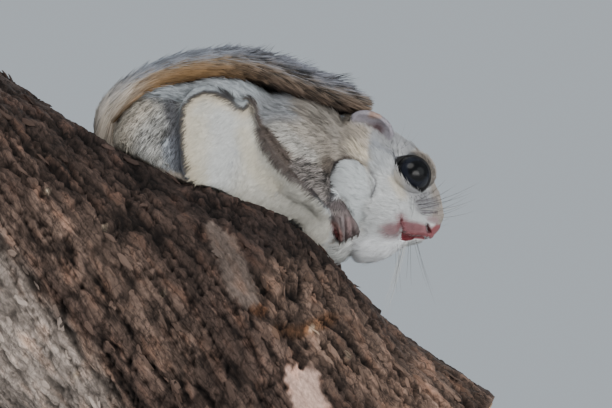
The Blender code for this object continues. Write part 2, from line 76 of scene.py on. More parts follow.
def merged_copy(node):
    """A CAD node's points, in the animal's millimetres, and its triangles, with the loose ones joined."""
    bm = bmesh.new()
    bm.from_mesh(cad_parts[node].data)
    bmesh.ops.remove_doubles(bm, verts=bm.verts, dist=0.000005)
    bmesh.ops.triangulate(bm, faces=bm.faces)
    points = np.array([vertex.co for vertex in bm.verts]) / MM - HERE
    triangles = np.array([[vertex.index for vertex in face.verts] for face in bm.faces])
    bm.free()
    return points, triangles


def normals_of(points, faces):
    """Smooth normals at the points of a mesh of triangles or quads."""
    corners = points[faces]
    if faces.shape[1] == 4:
        facing = np.cross(corners[:, 2] - corners[:, 0], corners[:, 3] - corners[:, 1])
    else:
        facing = np.cross(corners[:, 1] - corners[:, 0], corners[:, 2] - corners[:, 0])
    spread = np.repeat(facing, faces.shape[1], axis=0)
    index = faces.ravel()
    total = np.stack([np.bincount(index, spread[:, k], len(points)) for k in range(3)], axis=1)
    return total / np.maximum(np.linalg.norm(total, axis=1, keepdims=True), 1e-12)


def mesh_from(name, points, faces):
    """A smooth mesh of equal-sided faces, from points in the animal's millimetres."""
    mesh = bpy.data.meshes.new(name)
    sides = faces.shape[1]
    mesh.vertices.add(len(points))
    mesh.vertices.foreach_set("co", sized(points).astype(np.float32).ravel())
    mesh.loops.add(faces.size)
    mesh.loops.foreach_set("vertex_index", faces.astype(np.int32).ravel())
    mesh.polygons.add(len(faces))
    mesh.polygons.foreach_set("loop_start", np.arange(0, faces.size, sides, dtype=np.int32))
    mesh.update(calc_edges=True)
    mesh.shade_smooth()
    return mesh


def object_of(name, mesh):
    obj = bpy.data.objects.new(name, mesh)
    bpy.context.scene.collection.objects.link(obj)
    return obj


def baked(obj):
    """The object with its modifiers made part of its mesh, and removed."""
    bpy.context.view_layer.update()
    graph = bpy.context.evaluated_depsgraph_get()
    mesh = bpy.data.meshes.new_from_object(obj.evaluated_get(graph))
    obj.modifiers.clear()
    obj.data = mesh
    return obj


def arrays_of(mesh, sides):
    """A mesh's points in the animal's millimetres, and its faces, which all have this many sides."""
    points = np.empty(len(mesh.vertices) * 3, np.float32)
    mesh.vertices.foreach_get("co", points)
    faces = np.empty(len(mesh.loops), np.int32)
    mesh.loops.foreach_get("vertex_index", faces)
    return points.reshape(-1, 3).astype(float) / MM - HERE, faces.reshape(-1, sides)


def unit(vectors):
    return vectors / np.maximum(np.linalg.norm(vectors, axis=-1, keepdims=True), 1e-9)


def ramp(values, low, high):
    """A smooth step from 0 at the low value to 1 at the high one."""
    share = np.clip((values - low) / (high - low), 0, 1)
    return share * share * (3 - 2 * share)


def near(points, centre, inner, outer):
    """1 within the inner distance of a place, falling smoothly to 0 at the outer one."""
    return 1 - ramp(np.linalg.norm(points - np.asarray(centre), axis=-1), inner, outer)


def distance_to(points, line):
    """How far points are from a line through places."""
    line = np.asarray(line, float)
    best = np.full(len(points), 1e9)
    for start, end in zip(line[:-1], line[1:]):
        along = np.clip((points - start) @ (end - start) / ((end - start) @ (end - start)), 0, 1)
        best = np.minimum(best, np.linalg.norm(points - start - along[:, None] * (end - start), axis=1))
    return best


def near_line(points, line, inner, outer):
    """1 within the inner distance of a line through places, falling smoothly to 0 at the outer one."""
    return 1 - ramp(distance_to(points, line), inner, outer)


def closed_rings(rings, first_middle, last_middle):
    """Points and triangles of a closed skin through rings of points, ending in a middle point at each end."""
    count, sides = rings.shape[:2]
    points = np.concatenate([rings.reshape(-1, 3), first_middle[None], last_middle[None]])
    row, column = np.meshgrid(np.arange(count - 1), np.arange(sides), indexing="ij")
    a, b = row * sides + column, row * sides + (column + 1) % sides
    here, after = np.arange(sides), (np.arange(sides) + 1) % sides
    last = (count - 1) * sides
    faces = np.concatenate([
        np.stack([a, b, b + sides], -1).reshape(-1, 3),
        np.stack([a, b + sides, a + sides], -1).reshape(-1, 3),
        np.stack([np.full(sides, len(points) - 2), after, here], axis=1),
        np.stack([np.full(sides, len(points) - 1), last + here, last + after], axis=1)])
    volume = np.linalg.det(points[faces] - points.mean(0)).sum()
    return points, faces if volume > 0 else faces[:, ::-1]


def tube_along(line, radii, sides=10):
    """Points and triangles of a closed tube round a line."""
    rings = []
    turns = np.linspace(0, 2 * np.pi, sides, endpoint=False)
    for index, centre in enumerate(line):
        ahead = unit(line[min(index + 1, len(line) - 1)] - line[max(index - 1, 0)])
        across = unit(np.cross(ahead, (0.31, 0.2, 0.93)))
        up = np.cross(ahead, across)
        rings.append(centre + radii[index] * (np.cos(turns)[:, None] * across + np.sin(turns)[:, None] * up))
    return closed_rings(np.array(rings), line[0], line[-1])


# Tail bone: the line through the middle of the tail solids, read from slices about the tail's bend.
TAIL_BEND = np.array((-8.0, 0.0, 8.0))
TAIL_SLICES = 22
BONE_ROOT = np.array((-30.0, 0.0, 9.0))
BONE_RADII = ((0.0, 3.2), (0.2, 2.2), (0.8, 1.4), (1.0, 0.7))
tail_cloud = np.concatenate([merged_copy(name)[0] for name in TAIL])
tail_reach = np.hypot(tail_cloud[:, 0] - TAIL_BEND[0], tail_cloud[:, 2] - TAIL_BEND[2])
tail_turn = np.degrees(np.arctan2(tail_cloud[:, 2] - TAIL_BEND[2], tail_cloud[:, 0] - TAIL_BEND[0]))
tail_turn = np.where(tail_turn < -90, tail_turn + 360, tail_turn)
slice_turns = np.linspace(tail_turn.max() - 6, tail_turn.min() + 5, TAIL_SLICES)
slice_reach = np.array([
    (tail_reach[np.abs(tail_turn - turn) < 7].min() + tail_reach[np.abs(tail_turn - turn) < 7].max()) / 2
    for turn in slice_turns
])
smooth_reach = np.poly1d(np.polyfit(slice_turns, slice_reach, 5))(slice_turns)
slice_turns = np.radians(slice_turns)
tail_line = TAIL_BEND + smooth_reach[:, None] * np.stack(
    [np.cos(slice_turns), np.zeros(TAIL_SLICES), np.sin(slice_turns)], axis=1)
bone_line = np.concatenate([[BONE_ROOT], tail_line])
bone_radii = np.interp(np.linspace(0, 1, len(bone_line)), *zip(*BONE_RADII))

solids = [merged_copy(name) for name in LABELS[:-1]] + [tube_along(bone_line, bone_radii)]
starts = np.cumsum([0] + [len(points) for points, _ in solids])
flesh_points = np.concatenate([points for points, _ in solids])
flesh_faces = np.concatenate([faces + start for (_, faces), start in zip(solids, starts)])
label_of_face = np.concatenate([np.full(len(faces), i) for i, (_, faces) in enumerate(solids)])
FINE_PARTS = ("hand", "hind_foot", "ear", "tail")
grown = [
    points + normals_of(points, faces) * (FINE_CLOSING if name.startswith(FINE_PARTS) else SEAM_CLOSING)
    for name, (points, faces) in zip(LABELS, solids)
]

# A short plug at each wrist and ankle closes the gap between the limb and its hand or foot.
PLUGS = (("hand", "foreleg", 2.5), ("hind_foot", "thigh", 2.9))
PLUG_SHAPE = ((-0.7, 0.7), (0.0, 1.0), (0.7, 0.7))
plug_faces = []
for end, limb_part, radius in PLUGS:
    for side in ("left", "right"):
        end_points = solids[LABELS.index(f"{end}_{side}")][0]
        limb_points = solids[LABELS.index(f"{limb_part}_{side}")][0]
        gaps = np.linalg.norm(end_points[:, None] - limb_points[None], axis=2)
        closest = np.argwhere(gaps < gaps.min() + 0.8)
        middle = (end_points[closest[:, 0]].mean(0) + limb_points[closest[:, 1]].mean(0)) / 2
        points, faces = tube_along(np.array([middle + (0, 0, high * radius) for high, _ in PLUG_SHAPE]),
                                   [radius * share for _, share in PLUG_SHAPE])
        plug_faces.append(faces + sum(len(made) for made in grown))
        grown.append(points)

skin = object_of("skin", mesh_from("skin", np.concatenate(grown), np.concatenate([flesh_faces, *plug_faces])))
remesh = skin.modifiers.new("one_skin", "REMESH")
remesh.mode = "VOXEL"
remesh.voxel_size = SKIN_GRID * MM
baked(skin)
skin_points, skin_faces = arrays_of(skin.data, 4)


def edges_of(faces):
    """Each edge of a mesh once, as pairs of point numbers."""
    pairs = np.sort(np.stack([faces, np.roll(faces, -1, axis=1)], axis=2).reshape(-1, 2), axis=1)
    count = int(faces.max()) + 1
    code = np.unique(pairs[:, 0].astype(np.int64) * count + pairs[:, 1])
    return np.stack([code // count, code % count], axis=1)


class Neighbours:
    """Averages of a value over each point's neighbours on a mesh."""

    def __init__(self, faces, count):
        edges = edges_of(faces)
        both = np.concatenate([edges, edges[:, ::-1]])
        both = both[np.argsort(both[:, 0], kind="stable")]
        self.other = both[:, 1]
        self.starts = np.searchsorted(both[:, 0], np.arange(count))
        self.share = np.diff(np.append(self.starts, len(both)))

    def mean(self, values):
        total = np.add.reduceat(values[self.other], self.starts, axis=0)
        return total / (self.share[:, None] if values.ndim > 1 else self.share)

    def blurred(self, values, times, strength=0.5):
        for _ in range(times):
            values = values + strength * (self.mean(values) - values)
        return values


def outer_shell(points, faces):
    """Only the biggest shell of a remeshed skin, so that no sealed gap is left inside it."""
    edges = edges_of(faces)
    group = np.arange(len(points))
    settled = False
    while not settled:
        before = group.copy()
        low = np.minimum(group[edges[:, 0]], group[edges[:, 1]])
        np.minimum.at(group, edges[:, 0], low)
        np.minimum.at(group, edges[:, 1], low)
        group = group[group]
        settled = (group == before).all()
    values, counts = np.unique(group, return_counts=True)
    kept = group == values[counts.argmax()]
    renumber = np.cumsum(kept) - 1
    return points[kept], renumber[faces[kept[faces[:, 0]]]]


skin_points, skin_faces = outer_shell(skin_points, skin_faces)
flesh_tree = BVHTree.FromPolygons([Vector(p) for p in flesh_points], flesh_faces.tolist())


def nearest_flesh(points):
    """For each point, the number of the piece of flesh nearest to it, in the order of LABELS, and how far."""
    found = [flesh_tree.find_nearest(Vector(point)) for point in points]
    return label_of_face[[face for _, _, face, _ in found]], np.array([gap for _, _, _, gap in found])


def by_label(labels, table):
    """A value for each point, from the first word of the name of its piece."""
    return np.array([table[name.split("_")[0]] for name in LABELS])[labels]


def labelled(labels, starts):
    """1 for points on pieces whose names start with any of these words, else 0."""
    return np.isin(labels, [i for i, name in enumerate(LABELS) if name.startswith(starts)]).astype(float)


NOSE_AT = np.array((57.5, 0.0, -8.4))
NOSE_PAD = np.array((56.9, 0.0, -9.6))
SOFTENING = {
    "trunk": 0.5, "neck": 0.5, "head": 0.5, "thigh": 0.5, "foreleg": 0.4, "membrane": 0.4, "hand": 0.06,
    "hind": 0.08, "ear": 0.1, "eye": 0.4, "tail": 0.3,
}
COAT_DEPTH = {
    "trunk": 2.8, "neck": 2.6, "head": 1.8, "thigh": 2.4, "foreleg": 2.0, "membrane": 0.9, "hand": 0.2,
    "hind": 0.3, "ear": 0.2, "eye": 0.5, "tail": 0.0,
}
labels, _ = nearest_flesh(skin_points)
ring = Neighbours(skin_faces, len(skin_points))
softening = ring.blurred(by_label(labels, SOFTENING), 4)[:, None]
for _ in range(14):
    skin_points = skin_points + softening * (ring.mean(skin_points) - skin_points)
from_nose = np.linalg.norm(skin_points - NOSE_AT, axis=1)
coat_depth = by_label(labels, COAT_DEPTH)
face_depth = np.clip(0.5 + 0.085 * (from_nose - 4.0), 0.5, 2.2)
coat_depth = np.where(labelled(labels, ("head", "eye")), face_depth, coat_depth)
coat_depth = np.where(labelled(labels, "foreleg"), 1.1 + 1.3 * ramp(skin_points[:, 2], 0.0, 8.0), coat_depth)
coat_depth = ring.blurred(coat_depth, 12)
inward = unit(ring.blurred(normals_of(skin_points, skin_faces), 3))
skin_points = skin_points - inward * coat_depth[:, None]
skin_points = skin_points + 0.5 * (ring.mean(skin_points) - skin_points) * (softening > 0.2)

# Loose skin bridges the folds that the solids leave along the belly and between the chest and the jaw.
BRIDGES = (((8.0, 1.0), (14.0, -2.5), (21.5, -8.0)), ((33.6, -11.5), (31.2, -17.0), (31.4, -21.5)))
BRIDGED_STEPS = 30


def side_view(places):
    return np.array([(x, 0.0, z) for x, z in places])


slack = np.max([near_line(skin_points * (1, 0, 1), side_view(line), 1.2, 3.6) for line in BRIDGES], axis=0)
slack = 0.5 * ring.blurred(slack * (1 - labelled(labels, "hand")), 3)[:, None]
for _ in range(BRIDGED_STEPS):
    skin_points = skin_points + slack * (ring.mean(skin_points) - skin_points)

# The face's fine features need smaller faces than the rest.
FINE_FACE = ((EYE_AT, EYE_RADIUS + 2.4, 3.0), ((52.5, 0.0, -9.6), 9.0, -1.0), ((28.0, 15.5, -9.5), 6.5, 11.0))
FINER_FACE = (((55.0, 0.0, -10.0), 4.2, -1.0), ((49.0, 5.0, -11.0), 4.5, 1.5))


def refined(points, faces, zones):
    """The mesh with each face split in four inside balls given by centre, radius and least |Y|."""
    mesh = mesh_from("refined", points, faces)
    bm = bmesh.new()
    bm.from_mesh(mesh)
    middles = np.array([face.calc_center_median() for face in bm.faces]) / MM - HERE
    middles[:, 1] = np.abs(middles[:, 1])
    chosen = np.zeros(len(middles), bool)
    for centre, radius, least in zones:
        chosen |= (np.linalg.norm(middles - centre, axis=1) < radius) & (middles[:, 1] > least)
    fine_edges = {edge for face, inside in zip(bm.faces, chosen) if inside for edge in face.edges}
    bmesh.ops.subdivide_edges(bm, edges=list(fine_edges), cuts=1, use_grid_fill=True)
    bmesh.ops.triangulate(bm, faces=[face for face in bm.faces if len(face.verts) > 3])
    bm.to_mesh(mesh)
    bm.free()
    return arrays_of(mesh, 3)


skin_points, skin_faces = refined(skin_points, skin_faces, FINE_FACE)
skin_points, skin_faces = refined(skin_points, skin_faces, FINER_FACE)
ring = Neighbours(skin_faces, len(skin_points))
labels, coat_depth = nearest_flesh(skin_points)

# Lids, as seen from the side: how far the opening's edge lies from the middle of the eye.
LID_EDGE = (
    (-5.0, 4.7), (-3.2, 5.3), (-0.9, 5.5), (1.4, 5.0), (3.6, 3.6), (5.1, 0.9), (5.3, -0.8), (4.7, -3.3),
    (2.5, -5.2), (0.9, -4.6), (-0.4, -3.8), (-2.2, -2.2), (-3.8, -0.2), (-4.9, 2.2),
)
LID_THICKNESS = 0.4
lid_turns = np.arctan2([up for _, up in LID_EDGE], [across for across, _ in LID_EDGE])
lid_reach = np.hypot(*np.array(LID_EDGE).T)[np.argsort(lid_turns)]
lid_turns = np.sort(lid_turns)
lid_turns = np.concatenate([lid_turns - 2 * np.pi, lid_turns, lid_turns + 2 * np.pi])
lid_reach = np.tile(lid_reach, 3)


def past_lid(points):
    """How far each point lies outside its eye's opening, seen from the side; it is negative inside."""
    across, up = points[:, 0] - EYE_AT[0], points[:, 2] - EYE_AT[2]
    return np.hypot(across, up) - np.interp(np.arctan2(up, across), lid_turns, lid_reach)


def eye_of(points):
    """The middle of the eye on each point's own side."""
    return EYE_AT * np.stack([np.ones(len(points)), np.sign(points[:, 1]), np.ones(len(points))], axis=1)


def with_lids(points):
    """The skin drawn over the eyeballs, with a thick edge to the lids and an opening inside it."""
    from_eye = points - eye_of(points)
    reach = np.linalg.norm(from_eye, axis=1)
    lid = EYE_RADIUS + LID_THICKNESS
    outside = past_lid(eye_of(points) + unit(from_eye) * np.maximum(reach, lid)[:, None])
    covered = lid + (np.maximum(reach, lid) - lid) * ramp(outside, 0.3, 2.6)
    socket = EYE_RADIUS - 0.7
    shaped = socket + (covered - socket) * ramp(outside, -0.25, 0.3)
    on_lids = np.abs(points[:, 1]) > EYE_AT[1] - 1.0
    held = np.where(on_lids & (reach < EYE_RADIUS + 3.2), shaped, np.maximum(reach, lid))
    return eye_of(points) + unit(from_eye) * held[:, None]


# Mouth, as seen from the side: the line where the lips meet, and the wedge where they part.
LIP_LINE = (
    (46.6, -5.0), (46.6, -7.6), (46.8, -9.8), (47.6, -11.3), (50.4, -12.0), (53.4, -12.0), (56.2, -12.3),
)
LIP_GAP = (
    (46.9, -8.6), (47.5, -10.6), (48.9, -11.4), (51.2, -11.8), (50.3, -12.8), (48.2, -13.2), (46.2, -12.9),
    (46.1, -11.2),
)
NOSTRIL = ((54.9, -8.7), (55.3, -10.2))

# The cheek's fur swells in a lobe, parted from the neck and the jaw by a crease over and behind it.
LOBE = ((31.2, 4.8), (31.0, 1.0), (30.2, -4.0))
LOBE_SWELLING = 1.9
CREASE = (
    (25.8, -2.0), (25.0, 2.0), (25.1, 6.0), (27.0, 9.6), (30.9, 10.4), (34.8, 9.2), (37.6, 6.9), (39.2, 3.6),
    (37.6, -0.6),
)
CREASE_DEPTH = 1.5

# Grooves between the fingers, and the deep fold that the thumb side makes.
FINGER_GROOVES = (
    (((29.3, -7.0), (29.5, -13.6)), 0.1, 0.55, 0.75), (((31.2, -7.5), (31.6, -12.4)), 0.1, 0.5, 0.55),
    (((27.5, -8.2), (28.2, -13.4)), 0.1, 0.5, 0.5), (((25.8, -10.4), (27.0, -12.8)), 0.3, 1.1, 0.7),
)


def inside_outline(points, outline):
    """True for points that an outline, given in the side view, goes round."""
    x, z = points[:, 0], points[:, 2]
    crossings = np.zeros(len(points), int)
    for (x0, z0), (x1, z1) in zip(outline, outline[1:] + outline[:1]):
        level = (z0 > z) != (z1 > z)
        crossings += level & (x < x0 + (z - z0) * (x1 - x0) / (z1 - z0 + 1e-9))
    return crossings % 2 == 1


skin_points = with_lids(skin_points)
nose_set_back = 1.0 * ramp(-skin_points[:, 2], 4.5, 8.0) + 0.6 * ramp(-skin_points[:, 2], 8.4, 11.5)
skin_points[:, 0] -= nose_set_back * ramp(skin_points[:, 0], 53.5, 57.5)
outward = normals_of(skin_points, skin_faces)
flat = skin_points * (1, 0, 1)
face_part = (labels == LABELS.index("head")) & (skin_points[:, 0] > 43)
nose = near(skin_points * (1, 0.6, 1), NOSE_PAD, 2.3, 3.0) * face_part
groove = near_line(flat, side_view(LIP_LINE), 0.12, 0.75) * face_part
above_lip = near_line(flat + (0, 0, -1.1), side_view(LIP_LINE[3:]), 0.1, 1.0) * face_part
gap = ring.blurred(inside_outline(flat, LIP_GAP).astype(float) * face_part, 2)
nostril = near_line(flat, side_view(NOSTRIL), 0.2, 0.75) * face_part * (np.abs(skin_points[:, 1]) > 0.5)
septum = near_line(skin_points, ((58.2, 0, -9.2), (57.6, 0, -10.8), (56.4, 0, -12.2)), 0.05, 0.45) * face_part
on_cheek = labelled(labels, ("head", "neck", "foreleg")) * (np.abs(outward[:, 1]) > 0.3)
lobe = near_line(flat, side_view(LOBE), 1.5, 7.6) * on_cheek * ramp(skin_points[:, 0], 24.6, 26.6)
crease = near_line(flat, side_view(CREASE), 0.2, 1.7) * on_cheek
on_hand = labelled(labels, "hand") * (np.abs(outward[:, 1]) > 0.2)
height = LOBE_SWELLING * lobe - CREASE_DEPTH * crease
height = ring.blurred(height, 3)
height += 0.35 * nose + 0.3 * above_lip - 0.75 * groove - 1.2 * gap - 0.9 * nostril - 0.35 * septum
for line, inner, outer, deep in FINGER_GROOVES:
    height -= deep * near_line(flat, side_view(line), inner, outer) * on_hand
skin_points = skin_points + outward * height[:, None]
# Coat
# Soft, dense fur over the whole hide, longest on the tail and shortest on the face, feet and the bare edge
# of the lips. Each tuft is a thin tapering lock rooted in the skin, laid along the body with the hair's
# own lie; the markings come from one table of marks that the skin under it shares.


def linear(hex_colour):
    """An sRGB hex colour as the linear values that materials take."""
    values = np.array([int(hex_colour[i:i + 2], 16) for i in (1, 3, 5)]) / 255
    return np.where(values <= 0.04045, values / 12.92, ((values + 0.055) / 1.055) ** 2.4)


# For each part: its colour, how far its tufts differ in tone, the way the hair grows before it is laid flat,
# and the tufts' length, width, number to a square millimetre, lowest share of the coat's depth and clumping.
COAT = {
    "trunk": ("#a3a8aa", 0.3, (-1.0, 0.0, -0.05), 5.0, 0.32, 5.4, 0.65, 0.3),
    "neck": ("#a89e90", 0.45, (-0.9, 0.0, 0.4), 4.6, 0.3, 8.5, 0.75, 0.3),
    "thigh": ("#9b9a96", 1.0, (-0.5, 0.05, -0.85), 3.4, 0.27, 12.0, 0.65, 0.15),
    "foreleg": ("#a39c92", 0.5, (-0.8, 0.0, -0.35), 3.2, 0.27, 10.0, 0.65, 0.3),
    "membrane": ("#a3a8aa", 0.1, (-0.7, 0.0, -0.7), 3.0, 0.24, 6.5, 0.85, 0.2),
    "hand": ("#6e6362", 0.45, (0.3, 0.0, -0.95), 1.0, 0.15, 10.0, 0.65, 0.0),
    "hind": ("#93897f", 0.4, (0.5, 0.0, -0.8), 1.3, 0.2, 6.0, 0.65, 0.1),
    "ear": ("#8f8a91", 0.3, (-0.5, 0.1, 0.85), 0.9, 0.14, 9.0, 0.8, 0.0),
    "head": ("#cbcdcd", 0.14, (-1.0, 0.0, 0.0), 2.6, 0.24, 9.0, 0.85, 0.15),
    "eye": ("#b5b4b4", 0.15, (-1.0, 0.0, 0.0), 1.0, 0.14, 9.0, 0.65, 0.3),
    "tail": ("#7c6a54", 0.5, (0.5, 0.0, 0.5), 3.0, 0.3, 0.0, 0.65, 0.3),
}
HAIR_COLOURS, TONE_RANGES, LIES, LENGTHS, WIDTHS, DENSITIES, LOWEST, CLUMPING = (
    {part: row[column] for part, row in COAT.items()} for column in range(8))
UNDERSIDE = "#d0d1ce"

# The folded gliding membrane shows its cream underside as a panel, and its rolled edge as a brown band.
PANEL_EDGE = (
    (-17.4, 1.0), (-17.9, 6.0), (-18.9, 11.2), (-19.7, 20.9), (-19.1, 25.9), (-16.8, 29.4), (-13.2, 31.2),
    (-9.8, 30.6), (-6.4, 28.8), (-3.6, 26.3), (-1.3, 25.4), (0.8, 28.1),
)
PANEL = (
    *PANEL_EDGE, (1.8, 22.9), (3.1, 17.5), (5.0, 13.9), (7.1, 10.5), (9.8, 7.1), (13.8, 3.6), (17.4, 1.0),
    (19.8, -1.5), (23.0, -4.5), (25.2, -8.5), (24.7, -13.0), (24.0, -26.0), (-20.0, -26.0), (-17.5, -6.0),
)
BAND = (
    (0.6, 28.4), (2.6, 27.7), (4.2, 23.8), (7.0, 20.2), (10.4, 16.1), (13.1, 13.3), (15.6, 9.6), (17.4, 5.9),
    (19.5, 2.5), (21.3, -1.0), (19.8, -1.5), (17.4, 1.0), (13.8, 3.6), (9.8, 7.1), (7.1, 10.5), (5.0, 13.9),
    (3.1, 17.5), (1.8, 22.9),
)
LIPS = ((48.4, -11.1), (51.5, -11.5), (55.4, -11.7))

# Marks on the hide, as seen from the side, in the order they are laid: the pieces they may fall on,
# colour, strength, the line through the mark, and how far from it the mark starts and stops fading out.
# Some of them are painted shade or painted light, as noted at each.
BODY = ("trunk", "neck", "thigh", "foreleg", "membrane")
FACE = ("head", "eye")
HAND = ("hand", "foreleg")
LOBE_PARTS = ("neck", "head", "foreleg")
MARKS = (
    (BODY, "#aea597", 0.9, ((-41.0, 12.0), (-38.5, 23.0), (-32.0, 29.5)), 3.0, 9.0),
    (BODY, "#9aa1aa", 0.8, ((-22.5, 15.0), (-20.5, 5.0)), 1.6, 4.0),
    # A dark band in the gap between the rump and the panel's free edge: painted shade.
    (BODY, "#46474e", 0.85, ((-23.5, 31.0), (-22.0, 24.0), (-21.2, 15.0), (-19.4, 6.0)), 0.7, 4.2),
    (BODY, "#b2b8bd", 0.9, ((-26.0, 32.0), (-15.0, 35.5), (-5.0, 34.0), (3.0, 31.5)), 2.4, 6.0),
    (BODY, "#84868a", 0.8, ((8.0, 25.0), (15.5, 26.0)), 3.0, 7.0),
    (BODY, "#8c847a", 0.9, ((21.7, 26.0), (27.5, 21.0), (28.5, 15.5)), 4.0, 8.5),
    (BODY, "#b5b3ae", 0.7, ((9.5, 19.0), (14.5, 15.5), (19.5, 11.0)), 1.0, 3.6),
    (BODY, "#55483f", 0.75, ((24.6, 9.8), (24.6, 6.5)), 0.8, 3.0),
    (("foreleg", "hand"), "#726c69", 0.9, ((17.5, 7.5), (21.0, 4.5), (23.4, 1.0), (25.4, -3.0)), 2.8, 4.4),
    # A near-black line down the forearm's edge to the wrist: dark fringe hair, deepened as a painted contact
    # shadow.
    (("foreleg", "hand", "membrane"), "#2b282c", 0.8, ((17.6, 3.2), (20.6, -1.2), (23.8, -4.2)), 0.3, 1.3),
    (LOBE_PARTS, "#b9bdbe", 1.0, ((31.0, 5.0), (31.2, 1.0), (30.4, -6.0)), 5.0, 6.6),
    # The lobe's crease, darkened as painted shade: brown fringe hair along its top, a painted shadow along
    # its left edge where the lobe overhangs, and dark hairs behind it deepened by painted shade.
    (LOBE_PARTS, "#473a33", 0.95, CREASE[3:6], 0.5, 1.6),
    (LOBE_PARTS, "#2e292c", 0.9, CREASE[:4], 0.5, 1.7),
    (("neck", "head"), "#6d6b71", 0.75, CREASE[6:], 0.25, 0.9),
    (FACE, "#a3a4a6", 1.0, ((41.0, 18.6), (46.0, 16.5), (52.0, 14.0)), 2.4, 4.6),
    (FACE, "#a79e95", 1.0, ((53.5, 12.5), (57.2, 6.0), (58.4, -2.0), (58.2, -6.0)), 1.2, 3.2),
    (FACE, "#7d7e85", 0.8, ((37.1, 15.7), (41.7, 13.2), (45.0, 11.6)), 0.5, 1.7),
    (("neck", "head"), "#c0b49f", 0.7, ((33.5, 12.4), (36.5, 11.0)), 0.8, 3.0),
    (FACE, "#cfc4b0", 0.7, ((45.2, 4.0), (47.5, -0.5)), 0.5, 2.6),
    (FACE, "#9b9b9d", 0.7, ((51.0, 1.0), (54.5, -3.0)), 1.5, 4.0),
    (FACE, "#999da2", 0.6, ((38.5, 13.0), (41.5, 9.5)), 0.8, 4.8),
    # The white chin and throat, painted brighter still: painted light bounced up from below.
    (("head", "neck"), "#fbfdff", 1.0, ((36.0, -14.5), (46.5, -15.0)), 1.5, 4.5),
    # Dark low inside the ear: painted shade in its hollow.
    (("ear",), "#5d4648", 0.9, ((35.6, 20.0), (39.5, 20.2)), 0.7, 3.0),
    # An orange band along the ear's upper rim: painted back light shining through the thin ear.
    (("ear",), "#a58470", 0.7, ((37.6, 24.6), (39.8, 24.2)), 0.4, 1.5),
    # A cool grey patch down the middle of the panel: painted soft shade among the fur clumps.
    (("membrane",), "#bfc3c6", 0.6, ((-7.0, 22.0), (-6.0, 14.0), (-8.0, 4.0)), 1.5, 6.5),
    (("membrane",), "#c3b89d", 0.45, ((-15.5, 21.0), (-15.0, 8.0), (-13.0, -2.0)), 0.5, 4.5),
    (("membrane",), "#c6bca4", 0.5, ((-1.0, 18.0), (2.0, 8.0), (8.5, 2.0)), 0.8, 4.0),
    (("membrane",), "#8d9098", 0.6, ((-4.2, 12.6), (-3.4, 11.6)), 0.1, 0.6),
    (("membrane",), "#8d9098", 0.6, ((-5.4, 8.4), (-4.6, 8.2)), 0.1, 0.6),
    (("membrane",), "#8d9098", 0.6, ((8.8, 0.6), (9.0, 0.0)), 0.1, 0.5),
)
# These show only where the hide faces sideways, and fade out round its front.
SIDE_MARKS = (
    (FACE, "#4c484d", 0.85, ((50.9, -1.4), (53.4, 0.0), (56.6, 1.0)), 0.05, 0.42),
    (FACE, "#4c484d", 0.85, ((51.3, -2.7), (54.0, -1.6), (57.6, -1.0)), 0.08, 0.5),
    (FACE, "#4c484d", 0.85, ((51.9, -4.0), (54.6, -3.2), (58.0, -2.8)), 0.08, 0.5),
    # A dark row under the whiskers: a painted shadow of the whiskers on the muzzle.
    (FACE, "#5a5257", 0.85, ((53.0, -5.4), (55.4, -5.0), (57.8, -4.8)), 0.1, 0.6),
    (FACE, "#8b898d", 0.5, ((52.8, -3.6), (56.6, -2.6)), 1.2, 2.6),
    (FACE, "#a58f92", 0.8, ((55.5, -6.9), (57.5, -6.9)), 0.3, 1.4),
    (FACE, "#906569", 0.8, ((43.6, -10.4), (46.2, -10.2)), 0.7, 2.8),
    (FACE, "#94686b", 0.75, ((47.0, -7.0), (46.8, -10.2)), 0.4, 2.1),
    (FACE, "#91595e", 0.9, ((47.6, -9.2), (51.5, -9.6), (54.8, -10.2)), 0.9, 2.4),
    (FACE, "#8b5356", 1.0, LIPS, 0.3, 1.3),
    (HAND, "#4c4344", 0.8, ((24.8, -3.6), (28.8, -3.8)), 0.8, 2.4),
    (HAND, "#8f8585", 0.5, ((28.3, -8.0), (28.7, -13.2)), 0.3, 0.9),
    (HAND, "#836d6c", 0.8, ((30.4, -8.0), (30.6, -12.8)), 0.3, 0.9),
    # Dark lines in the grooves between the fingers: painted shade in the grooves.
    (HAND, "#5c4848", 0.6, ((29.3, -8.0), (29.5, -13.6)), 0.1, 0.45),
    (HAND, "#5c4848", 0.55, ((31.4, -6.5), (31.9, -12.0)), 0.1, 0.6),
    # Pink skin in the thumb side's fold, going to near-black red in its depth as painted shade.
    (("hand", "foreleg", "trunk"), "#8d6a64", 0.9, ((25.0, -10.6), (26.4, -12.8)), 1.5, 2.7),
    (("hand", "foreleg", "trunk"), "#4a171b", 1.0, ((25.0, -10.8), (26.6, -12.8)), 0.7, 1.5),
)
NOSE_PINK = "#7c4447"
# The nostril slit's dark red is painted shade in its opening.
NOSTRIL_SHADE_RED = "#43191d"
# The mouth's red, darkened as painted shade in the lip groove and where the lips part.
SHADED_MOUTH_RED = "#682a30"
LID_BLACK = "#060506"


def over_eye(points):
    """1 on the outer side of the eyeballs, where the lids are, and 0 on the brow between them."""
    return ramp(np.abs(points[:, 1]), 6.6, 7.8)


